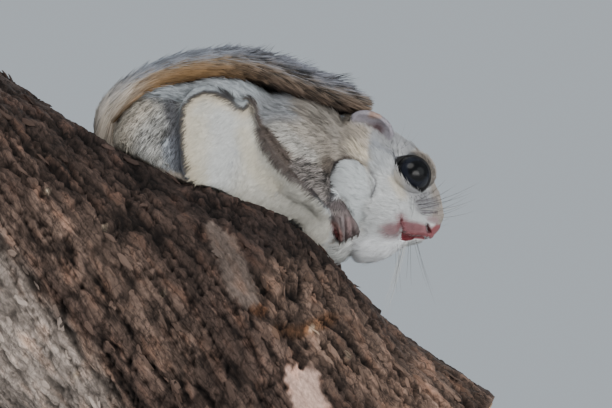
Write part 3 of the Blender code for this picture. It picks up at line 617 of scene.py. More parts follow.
def marked(points, labels, outward):
    """The hide's colour at each point: base colours by piece, softened, then the marks laid over."""
    base = {part: linear(colour) for part, colour in HAIR_COLOURS.items()}
    base = ring.blurred(by_label(labels, base), 10)
    flat = points * (1, 0, 1)
    head = labelled(labels, FACE)
    flank = ring.blurred(labelled(labels, ("membrane", "trunk", "thigh", "foreleg")), 2)
    flank = flank * (np.abs(points[:, 1]) > 8)

    def laid(colour, weight):
        return base + (linear(colour) - base) * np.clip(weight, 0, 1)[:, None]

    base = laid(UNDERSIDE, ramp(-outward[:, 2], 0.15, 0.6) * labelled(labels, BODY))
    for parts, colour, strength, line, start, stop in MARKS:
        if parts == BODY:
            weight = near_line(flat, side_view(line), start, stop) * strength
            base = laid(colour, weight * ring.blurred(labelled(labels, parts), 3))
    base = laid("#cbc8be", ring.blurred(inside_outline(flat, PANEL) * flank, 1))
    at_edge = near_line(flat, side_view(PANEL_EDGE), 0.8, 4.2)
    base = laid("#c6b9a2", at_edge * inside_outline(flat, PANEL) * flank * 0.8)
    base = laid("#564b45", ring.blurred(inside_outline(flat, BAND) * flank, 2) * 0.95)
    # A dark line along the band's edge where it lies over the panel: painted shade.
    base = laid("#443b38", near_line(flat, side_view(BAND[9:] + BAND[:1]), 0.3, 1.3) * flank * 0.7)
    # A dark line along the panel's free edge: dark fringe hair, deepened as a painted contact shadow.
    base = laid("#2f2a2a", near_line(flat, side_view(PANEL_EDGE[1:]), 0.35, 1.0) * flank * 0.9)
    sideways = ramp(np.abs(outward[:, 1]), 0.05, 0.3)
    for marks, facing in ((MARKS, 1), (SIDE_MARKS, sideways)):
        for parts, colour, strength, line, start, stop in marks:
            if parts != BODY:
                weight = near_line(flat, side_view(line), start, stop) * strength * facing
                softening = 1 if len(parts) == 1 else 3
                base = laid(colour, weight * ring.blurred(labelled(labels, parts), softening))
    lid = head * (1 - ramp(past_lid(points), 0.3, 0.8)) * over_eye(points)
    base = laid(LID_BLACK, lid)
    base = laid(NOSE_PINK, nose)
    # The nostril slit, darkened as painted shade.
    base = laid(NOSTRIL_SHADE_RED, near_line(flat, side_view(NOSTRIL), 0.35, 0.9) * head)
    # The lip groove and the mouth's parting: the mouth's red, darkened as painted shade.
    base = laid(SHADED_MOUTH_RED, near_line(flat, side_view(LIP_LINE[1:]), 0.15, 0.55) * head * 0.9)
    base = laid(SHADED_MOUTH_RED, inside_outline(flat, LIP_GAP) * head)
    return base


outward = unit(ring.blurred(normals_of(skin_points, skin_faces), 2))
skin_colour = marked(skin_points, labels, outward)
contrast = ring.blurred(by_label(labels, TONE_RANGES), 20)
flat = skin_points * (1, 0, 1)
forearm = near_line(flat, side_view(((17.5, 7.5), (21.0, 4.5), (23.4, 1.0), (25.4, -3.0))), 3.0, 5.0)
forearm = forearm * labelled(labels, ("foreleg", "hand"))
white_lobe = near_line(flat, side_view(LOBE), 5.0, 6.6)
salted = near_line(flat, side_view(((-29.0, 20.0), (-28.0, 10.0), (-25.0, 5.0))), 4.0, 9.0)
salted = salted * labelled(labels, ("thigh",))
on_panel = ring.blurred(inside_outline(flat, PANEL).astype(float), 2)
on_panel = on_panel * labelled(labels, ("membrane", "trunk", "foreleg"))
contrast = contrast + (1.7 - contrast) * forearm
contrast = contrast + (1.4 - contrast) * salted
contrast = contrast + (0.16 - contrast) * on_panel * (1 - forearm)
contrast = contrast + (0.12 - contrast) * white_lobe * (1 - forearm)

lie = by_label(labels, LIES)
lie = lie * np.stack([np.ones(len(lie)), np.sign(skin_points[:, 1]), np.ones(len(lie))], axis=1)
radial = unit(skin_points - NOSE_AT)
from_nose = np.linalg.norm(skin_points - NOSE_AT, axis=1)
lie = np.where(labelled(labels, ("head", "eye", "neck"))[:, None], radial, lie)
lie = unit(ring.blurred(unit(lie), 40))
lie = unit(lie - outward * (lie * outward).sum(1)[:, None])
on_face = labelled(labels, FACE)
lengths = by_label(labels, LENGTHS)
lengths = np.where(on_face, 0.7 + 0.085 * from_nose, lengths)
widths = np.where(on_face, 0.13 + 0.004 * from_nose, by_label(labels, WIDTHS))
densities = np.where(on_face, 13.0 - 0.2 * from_nose, by_label(labels, DENSITIES))
crease_here = near_line(flat, side_view(CREASE), 0.6, 2.2) * labelled(labels, ("head", "neck", "foreleg"))
edge_here = near_line(flat, side_view(PANEL_EDGE[5:]), 0.5, 3.5) * labelled(labels, BODY) * (1 - on_panel)
lengths = lengths * (1 - 0.55 * crease_here) * (1 - 0.5 * edge_here) * (1 + 0.35 * forearm)
at_lip = near_line(flat, side_view(LIP_LINE[3:]), 0.4, 0.9)
at_corner = near_line(flat, side_view(LIP_LINE[1:4]), 0.15, 0.5)
bare = nose + at_lip + at_corner
bare += inside_outline(flat, LIP_GAP)
bare += (1 - ramp(past_lid(skin_points), 0.5, 0.8)) * over_eye(skin_points)
bare = np.clip(bare, 0, 1) * on_face
coat_depth = ring.blurred(coat_depth, 4) * (1 - 0.5 * crease_here)
on_back = labelled(labels, ("trunk", "neck")) * ramp(outward[:, 2], 0.35, 0.8)
CHEST_LINE = ((24.0, -12.0), (38.0, -15.0))
on_chest = ramp(-outward[:, 2], 0.3, 0.7) * near_line(flat, side_view(CHEST_LINE), 4.0, 9.0)
on_nape = near(flat, side_view([(28.0, 26.0)]), 4.0, 9.0) * on_back
coat_depth = coat_depth * (1 + 0.35 * on_back + 0.5 * on_nape + 0.8 * on_chest)
lengths = lengths * (1 + 0.5 * on_chest)


def paint(obj, colours):
    """Colours for the points of an object, kept as the attribute that its material reads."""
    layer = obj.data.attributes.new("coat_colour", "FLOAT_COLOR", "POINT")
    values = np.ones((len(obj.data.vertices), 4), np.float32)
    values[:, :3] = colours
    layer.data.foreach_set("color", values.ravel())


def node(tree, kind, *feeds, out=0, **settings):
    """One node of a tree, and its first or named output. Feeds go to its first open inputs in turn, and
    settings name its inputs or its properties; a socket is linked and any other value is set."""
    made = tree.nodes.new(kind)
    named = {socket.name.lower().replace(" ", "_") for socket in made.inputs}
    for key, value in settings.items():
        if key not in named:
            setattr(made, key, value)
    free = [socket for socket in made.inputs if socket.enabled]
    by_name = {socket.name.lower().replace(" ", "_"): socket for socket in reversed(free)}
    wanted = [(by_name[key], value) for key, value in settings.items() if key in named]
    for socket, value in [*zip(free, feeds), *wanted]:
        if isinstance(value, bpy.types.NodeSocket):
            tree.links.new(value, socket)
        else:
            socket.default_value = value
    return made.outputs[out] if len(made.outputs) else made


def new_material(name):
    """A material and its empty node tree."""
    material = bpy.data.materials.new(name)
    material.use_nodes = True
    material.node_tree.nodes.clear()
    return material, material.node_tree


# Living hide: soft and faintly moist, so it shines a little where it is bare, and fine pores break the shine.
skin.data = mesh_from("skin", skin_points, skin_faces)
paint(skin, skin_colour)
hide, tree = new_material("squirrel_hide")
on_hide = node(tree, "ShaderNodeTexCoord", out="Object")
pores = node(tree, "ShaderNodeTexNoise", on_hide, scale=1 / (0.35 * MM), detail=3.0)
node(tree, "ShaderNodeOutputMaterial", node(
    tree, "ShaderNodeBsdfPrincipled",
    base_color=node(tree, "ShaderNodeAttribute", attribute_name="coat_colour"), roughness=0.5,
    specular_ior_level=0.25,
    normal=node(tree, "ShaderNodeBump", strength=0.35, distance=0.2 * MM, height=pores)))
skin.data.materials.append(hide)
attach(skin, "root")
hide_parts(*FLESH, *TAIL)

# Clean, dry fur: each hair scatters light and has only a weak, broad shine.
fur, tree = new_material("squirrel_fur")
node(tree, "ShaderNodeOutputMaterial", node(
    tree, "ShaderNodeBsdfPrincipled",
    base_color=node(tree, "ShaderNodeAttribute", attribute_name="coat_colour"), roughness=0.75,
    specular_ior_level=0.3))

TUFT_SIDES = np.array([
    (0, 2, 1), (0, 1, 4), (0, 4, 3), (1, 2, 5), (1, 5, 4), (2, 0, 3), (2, 3, 5),
    (3, 4, 6), (4, 5, 6), (5, 3, 6),
])
PATCH = 0.003
PATCH_ACROSS = np.array((0.0, 0.5, 1.0, 0.0, 0.5, 1.0, 0.5)) * PATCH
PATCH_ALONG = np.array((0.0, 0.0, 0.0, 0.5, 0.5, 0.5, 1.0)) * PATCH
MID_WIDTH = 0.8
OWN_SHADING = 0.28


def tuft_piece(name, places, widths, colours, unwrap, facing):
    """One piece of the coat: tapering three-sided locks through places (root, middle and tip of each)."""
    root, middle, tip = places
    count = len(root)
    ahead = unit(middle - root)
    side = unit(np.cross(ahead, (0.21, 0.43, 0.88)))
    up = np.cross(ahead, side)
    turns = rng.uniform(0, 2 * np.pi, count)[:, None, None] + np.radians((0, 120, 240))[None, :, None]
    spokes = (np.cos(turns) * side[:, None] + np.sin(turns) * up[:, None]) * widths[:, None, None] / 2
    points = np.concatenate([
        root[:, None] + spokes, middle[:, None] + spokes * MID_WIDTH, tip[:, None]], axis=1).reshape(-1, 3)
    faces = (np.arange(count)[:, None, None] * 7 + TUFT_SIDES[None]).reshape(-1, 3)
    obj = object_of(name, mesh_from(name, points, faces))
    own = np.concatenate([spokes, spokes, (tip - middle)[:, None]], axis=1)
    normals = unit(unit(own) * OWN_SHADING + np.repeat(facing[:, None], 7, axis=1) * (1 - OWN_SHADING))
    obj.data.normals_split_custom_set_from_vertices(normals.reshape(-1, 3).astype(np.float32))
    paint(obj, np.repeat(np.stack(colours, axis=1), (3, 3, 1), axis=1).reshape(-1, 3))
    uv = np.stack([unwrap[:, :1] + PATCH_ACROSS, unwrap[:, 1:] + PATCH_ALONG], axis=2).reshape(-1, 2)
    layer = obj.data.uv_layers.new(name="OFBake")
    layer.data.foreach_set("uv", uv[faces.ravel()].astype(np.float32).ravel())
    obj.data.materials.append(fur)
    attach(obj, "root")
    return obj


rng = np.random.default_rng(11)
skin_near = KDTree(len(skin_points))
for index, point in enumerate(skin_points):
    skin_near.insert(point, index)
skin_near.balance()


def at_height(points, height):
    """The points moved to a height over the skin nearest to them."""
    index = np.array([skin_near.find(point)[1] for point in points])
    now = ((points - skin_points[index]) * outward[index]).sum(1)
    return points + outward[index] * (height - now)[:, None]


corners = skin_points[skin_faces]
face_area = np.linalg.norm(np.cross(corners[:, 1] - corners[:, 0], corners[:, 2] - corners[:, 0]), axis=1) / 2
face_density = (densities * (1 - bare))[skin_faces].mean(1)

CLUMP_EVERY = 14


def grown_tufts(chosen):
    """Tufts on chosen faces of the skin: root, middle and tip places, widths, colours and roots' faces."""
    index = np.flatnonzero(chosen)
    share = (face_area * face_density)[index]
    count = int(share.sum())
    face = index[rng.choice(len(index), count, p=share / share.sum())]
    mix = rng.dirichlet((1, 1, 1), count)

    def of(values):
        picked = values[skin_faces[face]]
        return (picked * (mix[:, :, None] if picked.ndim == 3 else mix)).sum(1)

    root, normal, direction = of(skin_points), unit(of(outward)), unit(of(lie))
    swing = rng.normal(0, 0.16, count)[:, None]
    direction = unit(direction + swing * np.cross(normal, direction))
    length = of(lengths) * rng.uniform(0.75, 1.2, count)
    depth = of(coat_depth)
    name = LABELS[labels[skin_faces[face[0], 0]]].split("_")[0]
    lowest, clump = LOWEST[name], CLUMPING[name]
    stray = rng.random(count) < 0.04
    height = depth * np.where(stray, 1.3, rng.uniform(lowest, 1.08, count))
    length = np.minimum(length, depth * 2.6 + 1.0)
    middle = root + direction * (length * 0.45)[:, None]
    tip = root + direction * length[:, None]
    middle = at_height(middle, height * (0.5 + 0.4 * lowest))
    tip = at_height(tip, height)
    if clump and count > CLUMP_EVERY * 4:
        seeds = rng.choice(count, count // CLUMP_EVERY, replace=False)
        tree = KDTree(len(seeds))
        for seed in seeds:
            tree.insert(root[seed], int(seed))
        tree.balance()
        leader = np.array([tree.find(point)[1] for point in root])
        pull = clump * rng.uniform(0.5, 1.1, count)[:, None]
        tip = tip + (tip[leader] - tip) * pull
        middle = middle + (middle[leader] - middle) * pull * 0.4
        tone = rng.normal(0, 1, count)[leader] * 0.5 + rng.normal(0, 1, count) * 0.75
    else:
        tone = rng.normal(0, 1, count)
    colour = of(skin_colour)
    strength = of(contrast)[:, None]
    tone = np.clip(tone, -1.6, 1.6)[:, None]
    light = np.where(tone > 0, 1 + 0.42 * strength * tone, np.exp(0.8 * strength * tone))
    root_shade = np.clip(0.9 - 0.3 * strength, 0.5, 0.9)
    colours = (colour * light * root_shade, colour * light * 0.97, colour * light * 1.05)
    root = root - normal * 0.12
    return (root, middle, tip), of(widths) * rng.uniform(0.8, 1.2, count), colours, normal


def unwrapped(root):
    """A place on an unwrap of the hide for each root: its turn about the body, and its rank along it."""
    turn = np.arctan2(root[:, 1] - root[:, 1].mean(), root[:, 2] - np.median(root[:, 2]))
    along = np.argsort(np.argsort(root[:, 0])) / len(root)
    return np.stack([0.002 + 0.99 * (turn / (2 * np.pi) + 0.5), 0.002 + 0.99 * along], axis=1)


face_label = labels[skin_faces[:, 0]]
for index, name in enumerate(LABELS):
    if name.startswith(("eye", "tail")):
        continue
    chosen = face_label == index
    if name == "head":
        chosen = labelled(face_label, FACE) > 0
    places, tuft_widths, colours, facing = grown_tufts(chosen)
    tuft_piece("coat_" + name, places, tuft_widths, colours, unwrapped(places[0]), facing)

# Tail brush
# The tail is a thin bone under a broad, flattish brush of long soft hair, golden on its underside, blue-grey
# along its upper edge and dusky towards the tip, with painted shade along its lowest edge where it lies on
# the back. Each lock is rooted on the bone, leans out and back along it, and is drawn into loose wisps with
# its neighbours.

TAIL_TUFTS = 31000
TAIL_HALF_WIDTH = 12.8
TAIL_HALF_DEPTH = 4.9
TAIL_DROOP = 3.4
TAIL_RUN = 112.0
TAIL_LOCK = (7.5, 9.0)
TAIL_LOCK_WIDTH = 0.34
WISP_EVERY = 26
WISP_PULL = 0.6
# Colours by level up the brush; the darkest, at the lowest levels, are painted shade where the brush lies on
# the back.
TAIL_COLOURS = (
    (-1.3, "#33261f"), (-0.95, "#453427"), (-0.75, "#73593d"), (-0.35, "#876a47"), (0.15, "#8a6f51"),
    (0.5, "#857562"), (0.72, "#868a92"), (1.5, "#838a96"),
)
# The same towards the tip, darkest at the lowest levels as painted shade.
TAIL_END_COLOURS = (
    (-1.3, "#241e1d"), (-0.8, "#332a26"), (-0.3, "#51443a"), (0.2, "#66574a"), (0.6, "#665f59"),
    (0.85, "#696a70"), (1.5, "#6c6f79"),
)
TAIL_ROOT_COLOUR = "#cfc5b8"


def between(values, table):
    """Colours read at these values from a table of (value, colour) pairs."""
    places = [place for place, _ in table]
    colours = np.array([linear(colour) for _, colour in table])
    return np.stack([np.interp(values, places, colours[:, k]) for k in range(3)], axis=1)


along = rng.uniform(0, 1, TAIL_TUFTS) ** 0.92
round_turn = rng.uniform(0, 2 * np.pi, TAIL_TUFTS)
spread = rng.uniform(0.3, 1.0, TAIL_TUFTS) ** 0.6
line_share = np.linspace(0, 1, len(bone_line))
start = np.stack([np.interp(along, line_share, bone_line[:, k]) for k in range(3)], axis=1)
ahead_line = unit(np.gradient(bone_line, axis=0))
ahead = unit(np.stack([np.interp(along, line_share, ahead_line[:, k]) for k in range(3)], axis=1))
across = np.array((0.0, 1.0, 0.0))
above = np.cross(ahead, across)
above *= np.sign(((start - TAIL_BEND) * above).sum(1))[:, None]
sideways, upward = np.cos(round_turn), np.sin(round_turn)
fade = ramp(along, -0.02, 0.12) * (1 - 0.5 * ramp(along, 0.9, 1.0))
loose = 1 + 0.3 * (rng.random(TAIL_TUFTS) < 0.12) * ramp(upward, 0.0, 0.6)
wide = TAIL_HALF_WIDTH * sideways * spread * fade
fullness = np.where(upward > 0, 1 + 0.5 * ramp(along, 0.3, 0.75), 1.3)
high = TAIL_HALF_DEPTH * upward * spread * fade * loose * fullness
droop = -TAIL_DROOP * (sideways * spread) ** 2 * fade
reach = TAIL_LOCK[0] + TAIL_LOCK[1] * np.abs(sideways) * spread
reach = reach * rng.uniform(0.85, 1.15, TAIL_TUFTS) * loose
reach = np.maximum(reach * (1 - 0.35 * ramp(along, 0.85, 1.0)), np.abs(high) + 2)
forward = np.sqrt(np.maximum(reach ** 2 - wide ** 2 - high ** 2, 4.0))
bone = np.interp(along, line_share, bone_radii)
spoke = sideways[:, None] * across + upward[:, None] * above
root = start + spoke * (bone * 0.9)[:, None]
end_along = np.clip(along + forward / TAIL_RUN, 0, 1.06)
past = np.maximum(end_along - 1, 0) * TAIL_RUN
end = np.stack([np.interp(end_along, line_share, bone_line[:, k]) for k in range(3)], axis=1)
tip = end + ahead_line[-1] * past[:, None] + across * wide[:, None] + above * (high + droop)[:, None]
middle = (root + tip) / 2 + spoke * 0.9 * fade[:, None]
seeds = rng.choice(TAIL_TUFTS, TAIL_TUFTS // WISP_EVERY, replace=False)
wisps = KDTree(len(seeds))
for seed in seeds:
    wisps.insert(tip[seed], int(seed))
wisps.balance()
leader = np.array([wisps.find(point)[1] for point in tip])
pull = WISP_PULL * rng.uniform(0.4, 1.1, TAIL_TUFTS)[:, None]
tip = tip + (tip[leader] - tip) * pull
middle = middle + (middle[leader] - middle) * pull * 0.35
level = high / (TAIL_HALF_DEPTH * (1 + 0.6 * (fullness - 1))) + 0.25 * np.abs(wide) / TAIL_HALF_WIDTH
level = level + rng.normal(0, 0.12, TAIL_TUFTS)
dusk = ramp(along, 0.38, 0.72)[:, None]
base = between(level, TAIL_COLOURS) * (1 - dusk) + between(level, TAIL_END_COLOURS) * dusk
pale = ((1 - ramp(along, 0.06, 0.26)) * ramp(level, -0.6, 0.2) * 0.8)[:, None]
base = base + (linear(TAIL_ROOT_COLOUR) - base) * pale
tone = np.clip(rng.normal(0, 0.7, TAIL_TUFTS) + rng.normal(0, 0.7, TAIL_TUFTS)[leader], -1.8, 1.8)[:, None]
strength = 0.22 + 0.45 * dusk
light = np.where(tone > 0, 1 + strength * tone, np.exp(1.6 * strength * tone))
colours = (base * light * 0.55, base * light * 0.92, base * light * 1.1)
tuft_widths = TAIL_LOCK_WIDTH * rng.uniform(0.7, 1.2, TAIL_TUFTS)
TAIL_PIECES = (("coat_tail_base", 0.0, 0.34), ("coat_tail_middle", 0.34, 0.67), ("coat_tail_tip", 0.67, 1.01))
for name, low, top in TAIL_PIECES:
    kept = (along >= low) & (along < top)
    turn_share, length_share = round_turn[kept] / (2 * np.pi), (along[kept] - low) / (top - low)
    unwrap = np.stack([0.002 + 0.99 * turn_share, 0.002 + 0.99 * length_share], axis=1)
    lock = (root[kept], middle[kept], tip[kept])
    tuft_piece(name, lock, tuft_widths[kept], [c[kept] for c in colours], unwrap, spoke[kept])

# Eyes
# Big night eyes, made as glass eyes are: a black glossy globe with a deep blue-brown iris ring that shows
# only against the light, and a thin moist edge where it meets the lids.

EYE_RINGS, EYE_SEGMENTS = 48, 96
EYE_GAZE = (0.34, 1.0, 0.12)
CORNEA_LIFT = 0.22
PUPIL_BLACK, IRIS_BLUE = "#040405", "#10131c"


def eye_globe(name, side):
    """A globe with its pole at the cornea, which stands out a little from the ball."""
    middle = EYE_AT * (1, side, 1)
    gaze = unit(np.array(EYE_GAZE) * (1, side, 1))
    bm = bmesh.new()
    bmesh.ops.create_uvsphere(bm, u_segments=EYE_SEGMENTS, v_segments=EYE_RINGS, radius=1.0)
    turn = Vector((0, 0, 1)).rotation_difference(Vector(gaze)).to_matrix().to_4x4()
    bmesh.ops.transform(bm, matrix=turn, verts=bm.verts)
    for vertex in bm.verts:
        facing = max(0.0, vertex.co.normalized().dot(Vector(gaze)))
        cornea = CORNEA_LIFT * max(0.0, (facing - 0.62) / 0.38) ** 1.5
        vertex.co = Vector(sized(middle + np.array(vertex.co) * (EYE_RADIUS + cornea)))
    mesh = bpy.data.meshes.new(name)
    bm.to_mesh(mesh)
    bm.free()
    mesh.shade_smooth()
    globe = object_of(name, mesh)
    return globe, middle, gaze


# Wet black glass: one deep, clear shine over a ball that is nearly black all through.
eye_glass, tree = new_material("black_eye_glass")
node(tree, "ShaderNodeOutputMaterial", node(
    tree, "ShaderNodeBsdfPrincipled",
    base_color=node(tree, "ShaderNodeAttribute", attribute_name="coat_colour"), roughness=0.2,
    specular_ior_level=0.2))
for side, eye in ((-1, "eye_right"), (1, "eye_left")):
    globe, middle, gaze = eye_globe(eye + "_globe", side)
    co = np.empty(len(globe.data.vertices) * 3, np.float32)
    globe.data.vertices.foreach_get("co", co)
    from_middle = unit(co.reshape(-1, 3) / MM - HERE - middle)
    facing = from_middle @ gaze
    iris = ramp(facing, 0.45, 0.62) * (1 - ramp(facing, 0.80, 0.86))
    paint(globe, linear(PUPIL_BLACK) + (linear(IRIS_BLUE) - linear(PUPIL_BLACK)) * iris[:, None])
    globe.data.materials.append(eye_glass)
    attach(globe, "root")
    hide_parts(eye)

# Whiskers
# Long stiff hairs in rows on the muzzle, over the eye and under the cheek, most of them dark and a few pale.
# Each is a thin tapering tube that leaves the skin low and bends away from the face. Geometry Nodes sweep
# them along drawn lines.

WHISKER_ROOT_WIDTH = 0.17
WHISKER_SIDES = 5
DARK, PALE = "#262325", "#c9c4bb"
WHISKER_ROWS = (
    (DARK, (51.2, -1.6), (65.4, 5.0), 2, 0.7), (DARK, (51.8, -2.8), (70.6, 2.8), 2, 0.8),
    (DARK, (52.4, -4.0), (70.4, 0.2), 2, 0.75), (DARK, (53.2, -5.2), (63.4, -4.4), 2, 0.6),
    (DARK, (50.8, -2.2), (60.5, 1.6), 2, 0.5), (PALE, (52.0, -3.4), (67.5, -2.0), 1, 0.6),
    (DARK, (47.5, -13.2), (43.4, -31.0), 1, 0.6), (DARK, (49.6, -13.0), (49.6, -27.5), 1, 0.55),
    (DARK, (51.5, -12.4), (56.8, -30.5), 2, 0.4), (PALE, (48.3, -13.2), (40.6, -39.0), 2, 0.55),
    (PALE, (47.0, -13.4), (41.0, -34.0), 1, 0.5), (DARK, (45.6, -13.6), (45.6, -33.0), 1, 0.45),
    (DARK, (46.0, 14.6), (51.0, 21.5), 3, 0.4), (DARK, (50.6, 0.2), (50.2, -7.0), 3, 0.6),
)
SPREAD_OUT = 13.0
skin_tree = BVHTree.FromPolygons([Vector(p) for p in skin_points], skin_faces.tolist())


def whisker_line(root, end, side, lift):
    """Points along one whisker, from its root in the skin to its tip, bending as it goes."""
    share = np.linspace(0, 1, 9)[:, None]
    bend = np.array((0.0, side * lift, -1.2)) * (share * (1 - share) * 4)
    return root + (end - root) * share + bend


def whisker_lines(name, colour):
    """The centre lines of the whiskers of one colour on both sides of the face, as one curve object."""
    lines = bpy.data.curves.new(name, "CURVE")
    lines.dimensions = "3D"
    for hair, (root_x, root_z), (end_x, end_z), count, thick in WHISKER_ROWS:
        for number, side in np.ndindex(count if hair == colour else 0, 2):
            side = side * 2 - 1
            x = root_x + rng.uniform(-0.5, 0.5) - 0.5 * number
            z = root_z + rng.uniform(-0.3, 0.3)
            hit = skin_tree.ray_cast(Vector((x, side * 40.0, z)), Vector((0, -side, 0)))[0]
            if hit is None:
                continue
            root = np.array(hit) - np.array((0, side * 0.2, 0))
            reach = rng.uniform(0.8, 1.03)
            out = side * SPREAD_OUT * rng.uniform(0.3, 0.6)
            fan = (number - (count - 1) / 2) * 1.8 + rng.normal(0, 0.6)
            forward = (end_x - root_x) * reach + rng.normal(0, 0.8)
            step = np.array((forward, out, (end_z - root_z) * reach + fan))
            line = whisker_line(root, root + step, side, rng.uniform(0.5, 1.6))
            spline = lines.splines.new("POLY")
            spline.points.add(len(line) - 1)
            for point, place, share in zip(spline.points, line, np.linspace(0, 1, len(line))):
                point.co = (*sized(place), 1)
                point.radius = (1 - share) ** 0.6 * thick
    return object_of(name, lines)


def new_tree(name, values):
    """A Geometry Nodes tree with an input for each named value, its inputs, and its output's socket."""
    kinds = {int: "Int", float: "Float", bpy.types.Material: "Material"}
    tree = bpy.data.node_groups.new(name, "GeometryNodeTree")
    tree.interface.new_socket("Geometry", in_out="INPUT", socket_type="NodeSocketGeometry")
    for label, value in values.items():
        tree.interface.new_socket(label, in_out="INPUT", socket_type="NodeSocket" + kinds[type(value)])
    tree.interface.new_socket("Geometry", in_out="OUTPUT", socket_type="NodeSocketGeometry")
    given = tree.nodes.new("NodeGroupInput").outputs
    return tree, given, tree.nodes.new("NodeGroupOutput").inputs["Geometry"]


def grown_mesh(obj, tree, values):
    """The plain mesh that a Geometry Nodes tree makes of an object, its inputs set by their identifiers."""
    modifier = obj.modifiers.new(tree.name, "NODES")
    modifier.node_group = tree
    for item in tree.interface.items_tree:
        if item.in_out == "INPUT" and item.name in values:
            modifier[item.identifier] = values[item.name]
    bpy.context.view_layer.update()
    graph = bpy.context.evaluated_depsgraph_get()
    mesh = bpy.data.meshes.new_from_object(obj.evaluated_get(graph))
    bpy.data.objects.remove(obj)
    return mesh


def whisker_tree(values):
    """Geometry Nodes that give each drawn line a round section, tapering with the line's own radius."""
    tree, given, result = new_tree("whisker_sweep", values)
    half = node(tree, "ShaderNodeMath", given["Root width"], 0.5, operation="MULTIPLY")
    section = node(tree, "GeometryNodeCurvePrimitiveCircle", resolution=given["Sides"], radius=half)
    swept = node(
        tree, "GeometryNodeCurveToMesh", given["Geometry"], section, fill_caps=True,
        scale=node(tree, "GeometryNodeInputRadius"))
    smooth = node(tree, "GeometryNodeSetShadeSmooth", node(tree, "GeometryNodeRealizeInstances", swept))
    tree.links.new(node(tree, "GeometryNodeSetMaterial", smooth, material=given["Hair"]), result)
    return tree


# Stiff hair: solid, smooth and glossy enough to catch a thin line of light.
for name, colour in (("whiskers_dark", DARK), ("whiskers_pale", PALE)):
    hair, tree = new_material(name.replace("whiskers", "whisker_hair"))
    node(tree, "ShaderNodeOutputMaterial", node(
        tree, "ShaderNodeBsdfPrincipled",
        base_color=(*linear(colour), 1), roughness=0.4))
    values = {"Root width": WHISKER_ROOT_WIDTH * MM, "Sides": WHISKER_SIDES, "Hair": hair}
    lines = whisker_lines(name + "_lines", colour)
    whiskers = object_of(name, grown_mesh(lines, whisker_tree(values), values))
    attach(whiskers, "root")

# Claws
# Each finger and toe ends in a small, sharp claw of dark horn that hooks into the bark. It is a cone bent
# along an arc, with its root set in the finger's end, laid out from the same wrists, palms and heels as the
# solids.

CLAW_RADIUS = 0.42
CLAW_REACH = 1.45
CLAW_HOOK = 0.9
CLAW_STEPS = 8
CLAW_SIDES = 10
HORN_ROOT, HORN_TIP = "#3a2d28", "#8d7b6c"
HEEL, BALL = (-33.0, 17.2, 9.6), (-16.0, 18.6, 1.4)
HANDS = (((26.4, -15.2, -3.6), (28.6, -14.6, -8.4), 0.62), ((22.6, 14.8, -6.6), (23.6, 16.0, -12.4), 0.25))
claw_parts = []


def add_claw(tip, end, inside):
    """One claw from a finger's end, through and past the solid's claw, hooked towards the paw's inside."""
    share = np.linspace(0, 1, CLAW_STEPS)[:, None]
    line = tip + (np.asarray(end) - tip) * share * CLAW_REACH + np.asarray(inside) * CLAW_HOOK * share ** 2
    radii = CLAW_RADIUS * (1 - share[:, 0] ** 1.6) + 0.03
    claw_parts.append(tube_along(line, radii, CLAW_SIDES))


for side in (-1, 1):
    heel, ball = np.array(HEEL) * (1, side, 1), np.array(BALL) * (1, side, 1)
    for spread in range(-2, 3):
        aim = unit(unit(ball - heel) + np.array((0, side * spread * 0.16, 0)))
        tip = ball + (0, side * spread * 1.35, -1.4) + aim * (8.4 - 0.8 * abs(spread))
        add_claw(tip, tip + aim * 1.9 + (0, 0, -1.4), (-0.3, 0, -1))
for wrist, palm, curl in HANDS:
    inward = np.array((0, -np.sign(palm[1]), 0))
    forward = unit(np.array(palm) - wrist)
    crosswise = unit(np.cross(forward, inward))
    for spread in (-1.5, -0.5, 0.5, 1.5):
        aim = unit(forward + crosswise * spread * 0.12)
        knuckle = palm + crosswise * spread * 1.45 + aim * 3.2 - inward * 0.8
        tip = knuckle + unit(aim * (1 - curl) + inward * curl) * 3.4
        end = tip + unit(inward * curl + aim * (0.7 - curl)) * 1.7 + (0, 0, -0.5)
        add_claw(tip, end, inward * 0.6 + (-0.4, 0, -0.6))
counts = np.cumsum([0] + [len(points) for points, _ in claw_parts])
claw_points = np.concatenate([points for points, _ in claw_parts])
claw_faces = np.concatenate([faces + first for (_, faces), first in zip(claw_parts, counts)])
claws = object_of("claws", mesh_from("claws", claw_points, claw_faces))
# Horn: a hard, smooth surface, dark at the root and paler where it thins to the tip.
horn, tree = new_material("claw_horn")
node(tree, "ShaderNodeOutputMaterial", node(
    tree, "ShaderNodeBsdfPrincipled",
    base_color=node(tree, "ShaderNodeAttribute", attribute_name="coat_colour"), roughness=0.35))
to_tip = np.concatenate([np.linspace(0, 1, len(points)) for points, _ in claw_parts])[:, None]
paint(claws, linear(HORN_ROOT) + (linear(HORN_TIP) - linear(HORN_ROOT)) * to_tip ** 2)
claws.data.materials.append(horn)
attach(claws, "root")

# Perch limb bark
# The squirrel sits on a cut length of an old hardwood limb, whose dark bark is cracked into long scales that
# wind round it, worn to a pale patch and broken to a fresh chip in front. The bark is a close grid over the
# CAD limb that a Geometry Nodes tree raises into scales and cracks.

LIMB_SLOPE = math.radians(33.5)
LIMB_DOWN = np.array((math.cos(LIMB_SLOPE), 0.0, -math.sin(LIMB_SLOPE)))
LIMB_OUT = np.array((math.sin(LIMB_SLOPE), 0.0, math.cos(LIMB_SLOPE)))
LIMB_FRONT = np.array((0.0, -1.0, 0.0))
BARK_ROWS, BARK_COLUMNS = 300, 322
BARK_TWIST = -0.0085
OUTSIDE_LIMB = 90.0
limb_points, limb_faces = merged_copy("perch_limb")
limb_tree = BVHTree.FromPolygons([Vector(p) for p in limb_points], limb_faces.tolist())
limb_low, limb_high = (limb_points @ LIMB_DOWN).min(), (limb_points @ LIMB_DOWN).max()
limb_heights = limb_points @ LIMB_OUT
axis_out = (np.percentile(limb_heights, 5) + np.percentile(limb_heights, 95)) / 2
axis_front = -(limb_points[:, 1].min() + limb_points[:, 1].max()) / 2
axis = axis_out * LIMB_OUT + axis_front * LIMB_FRONT

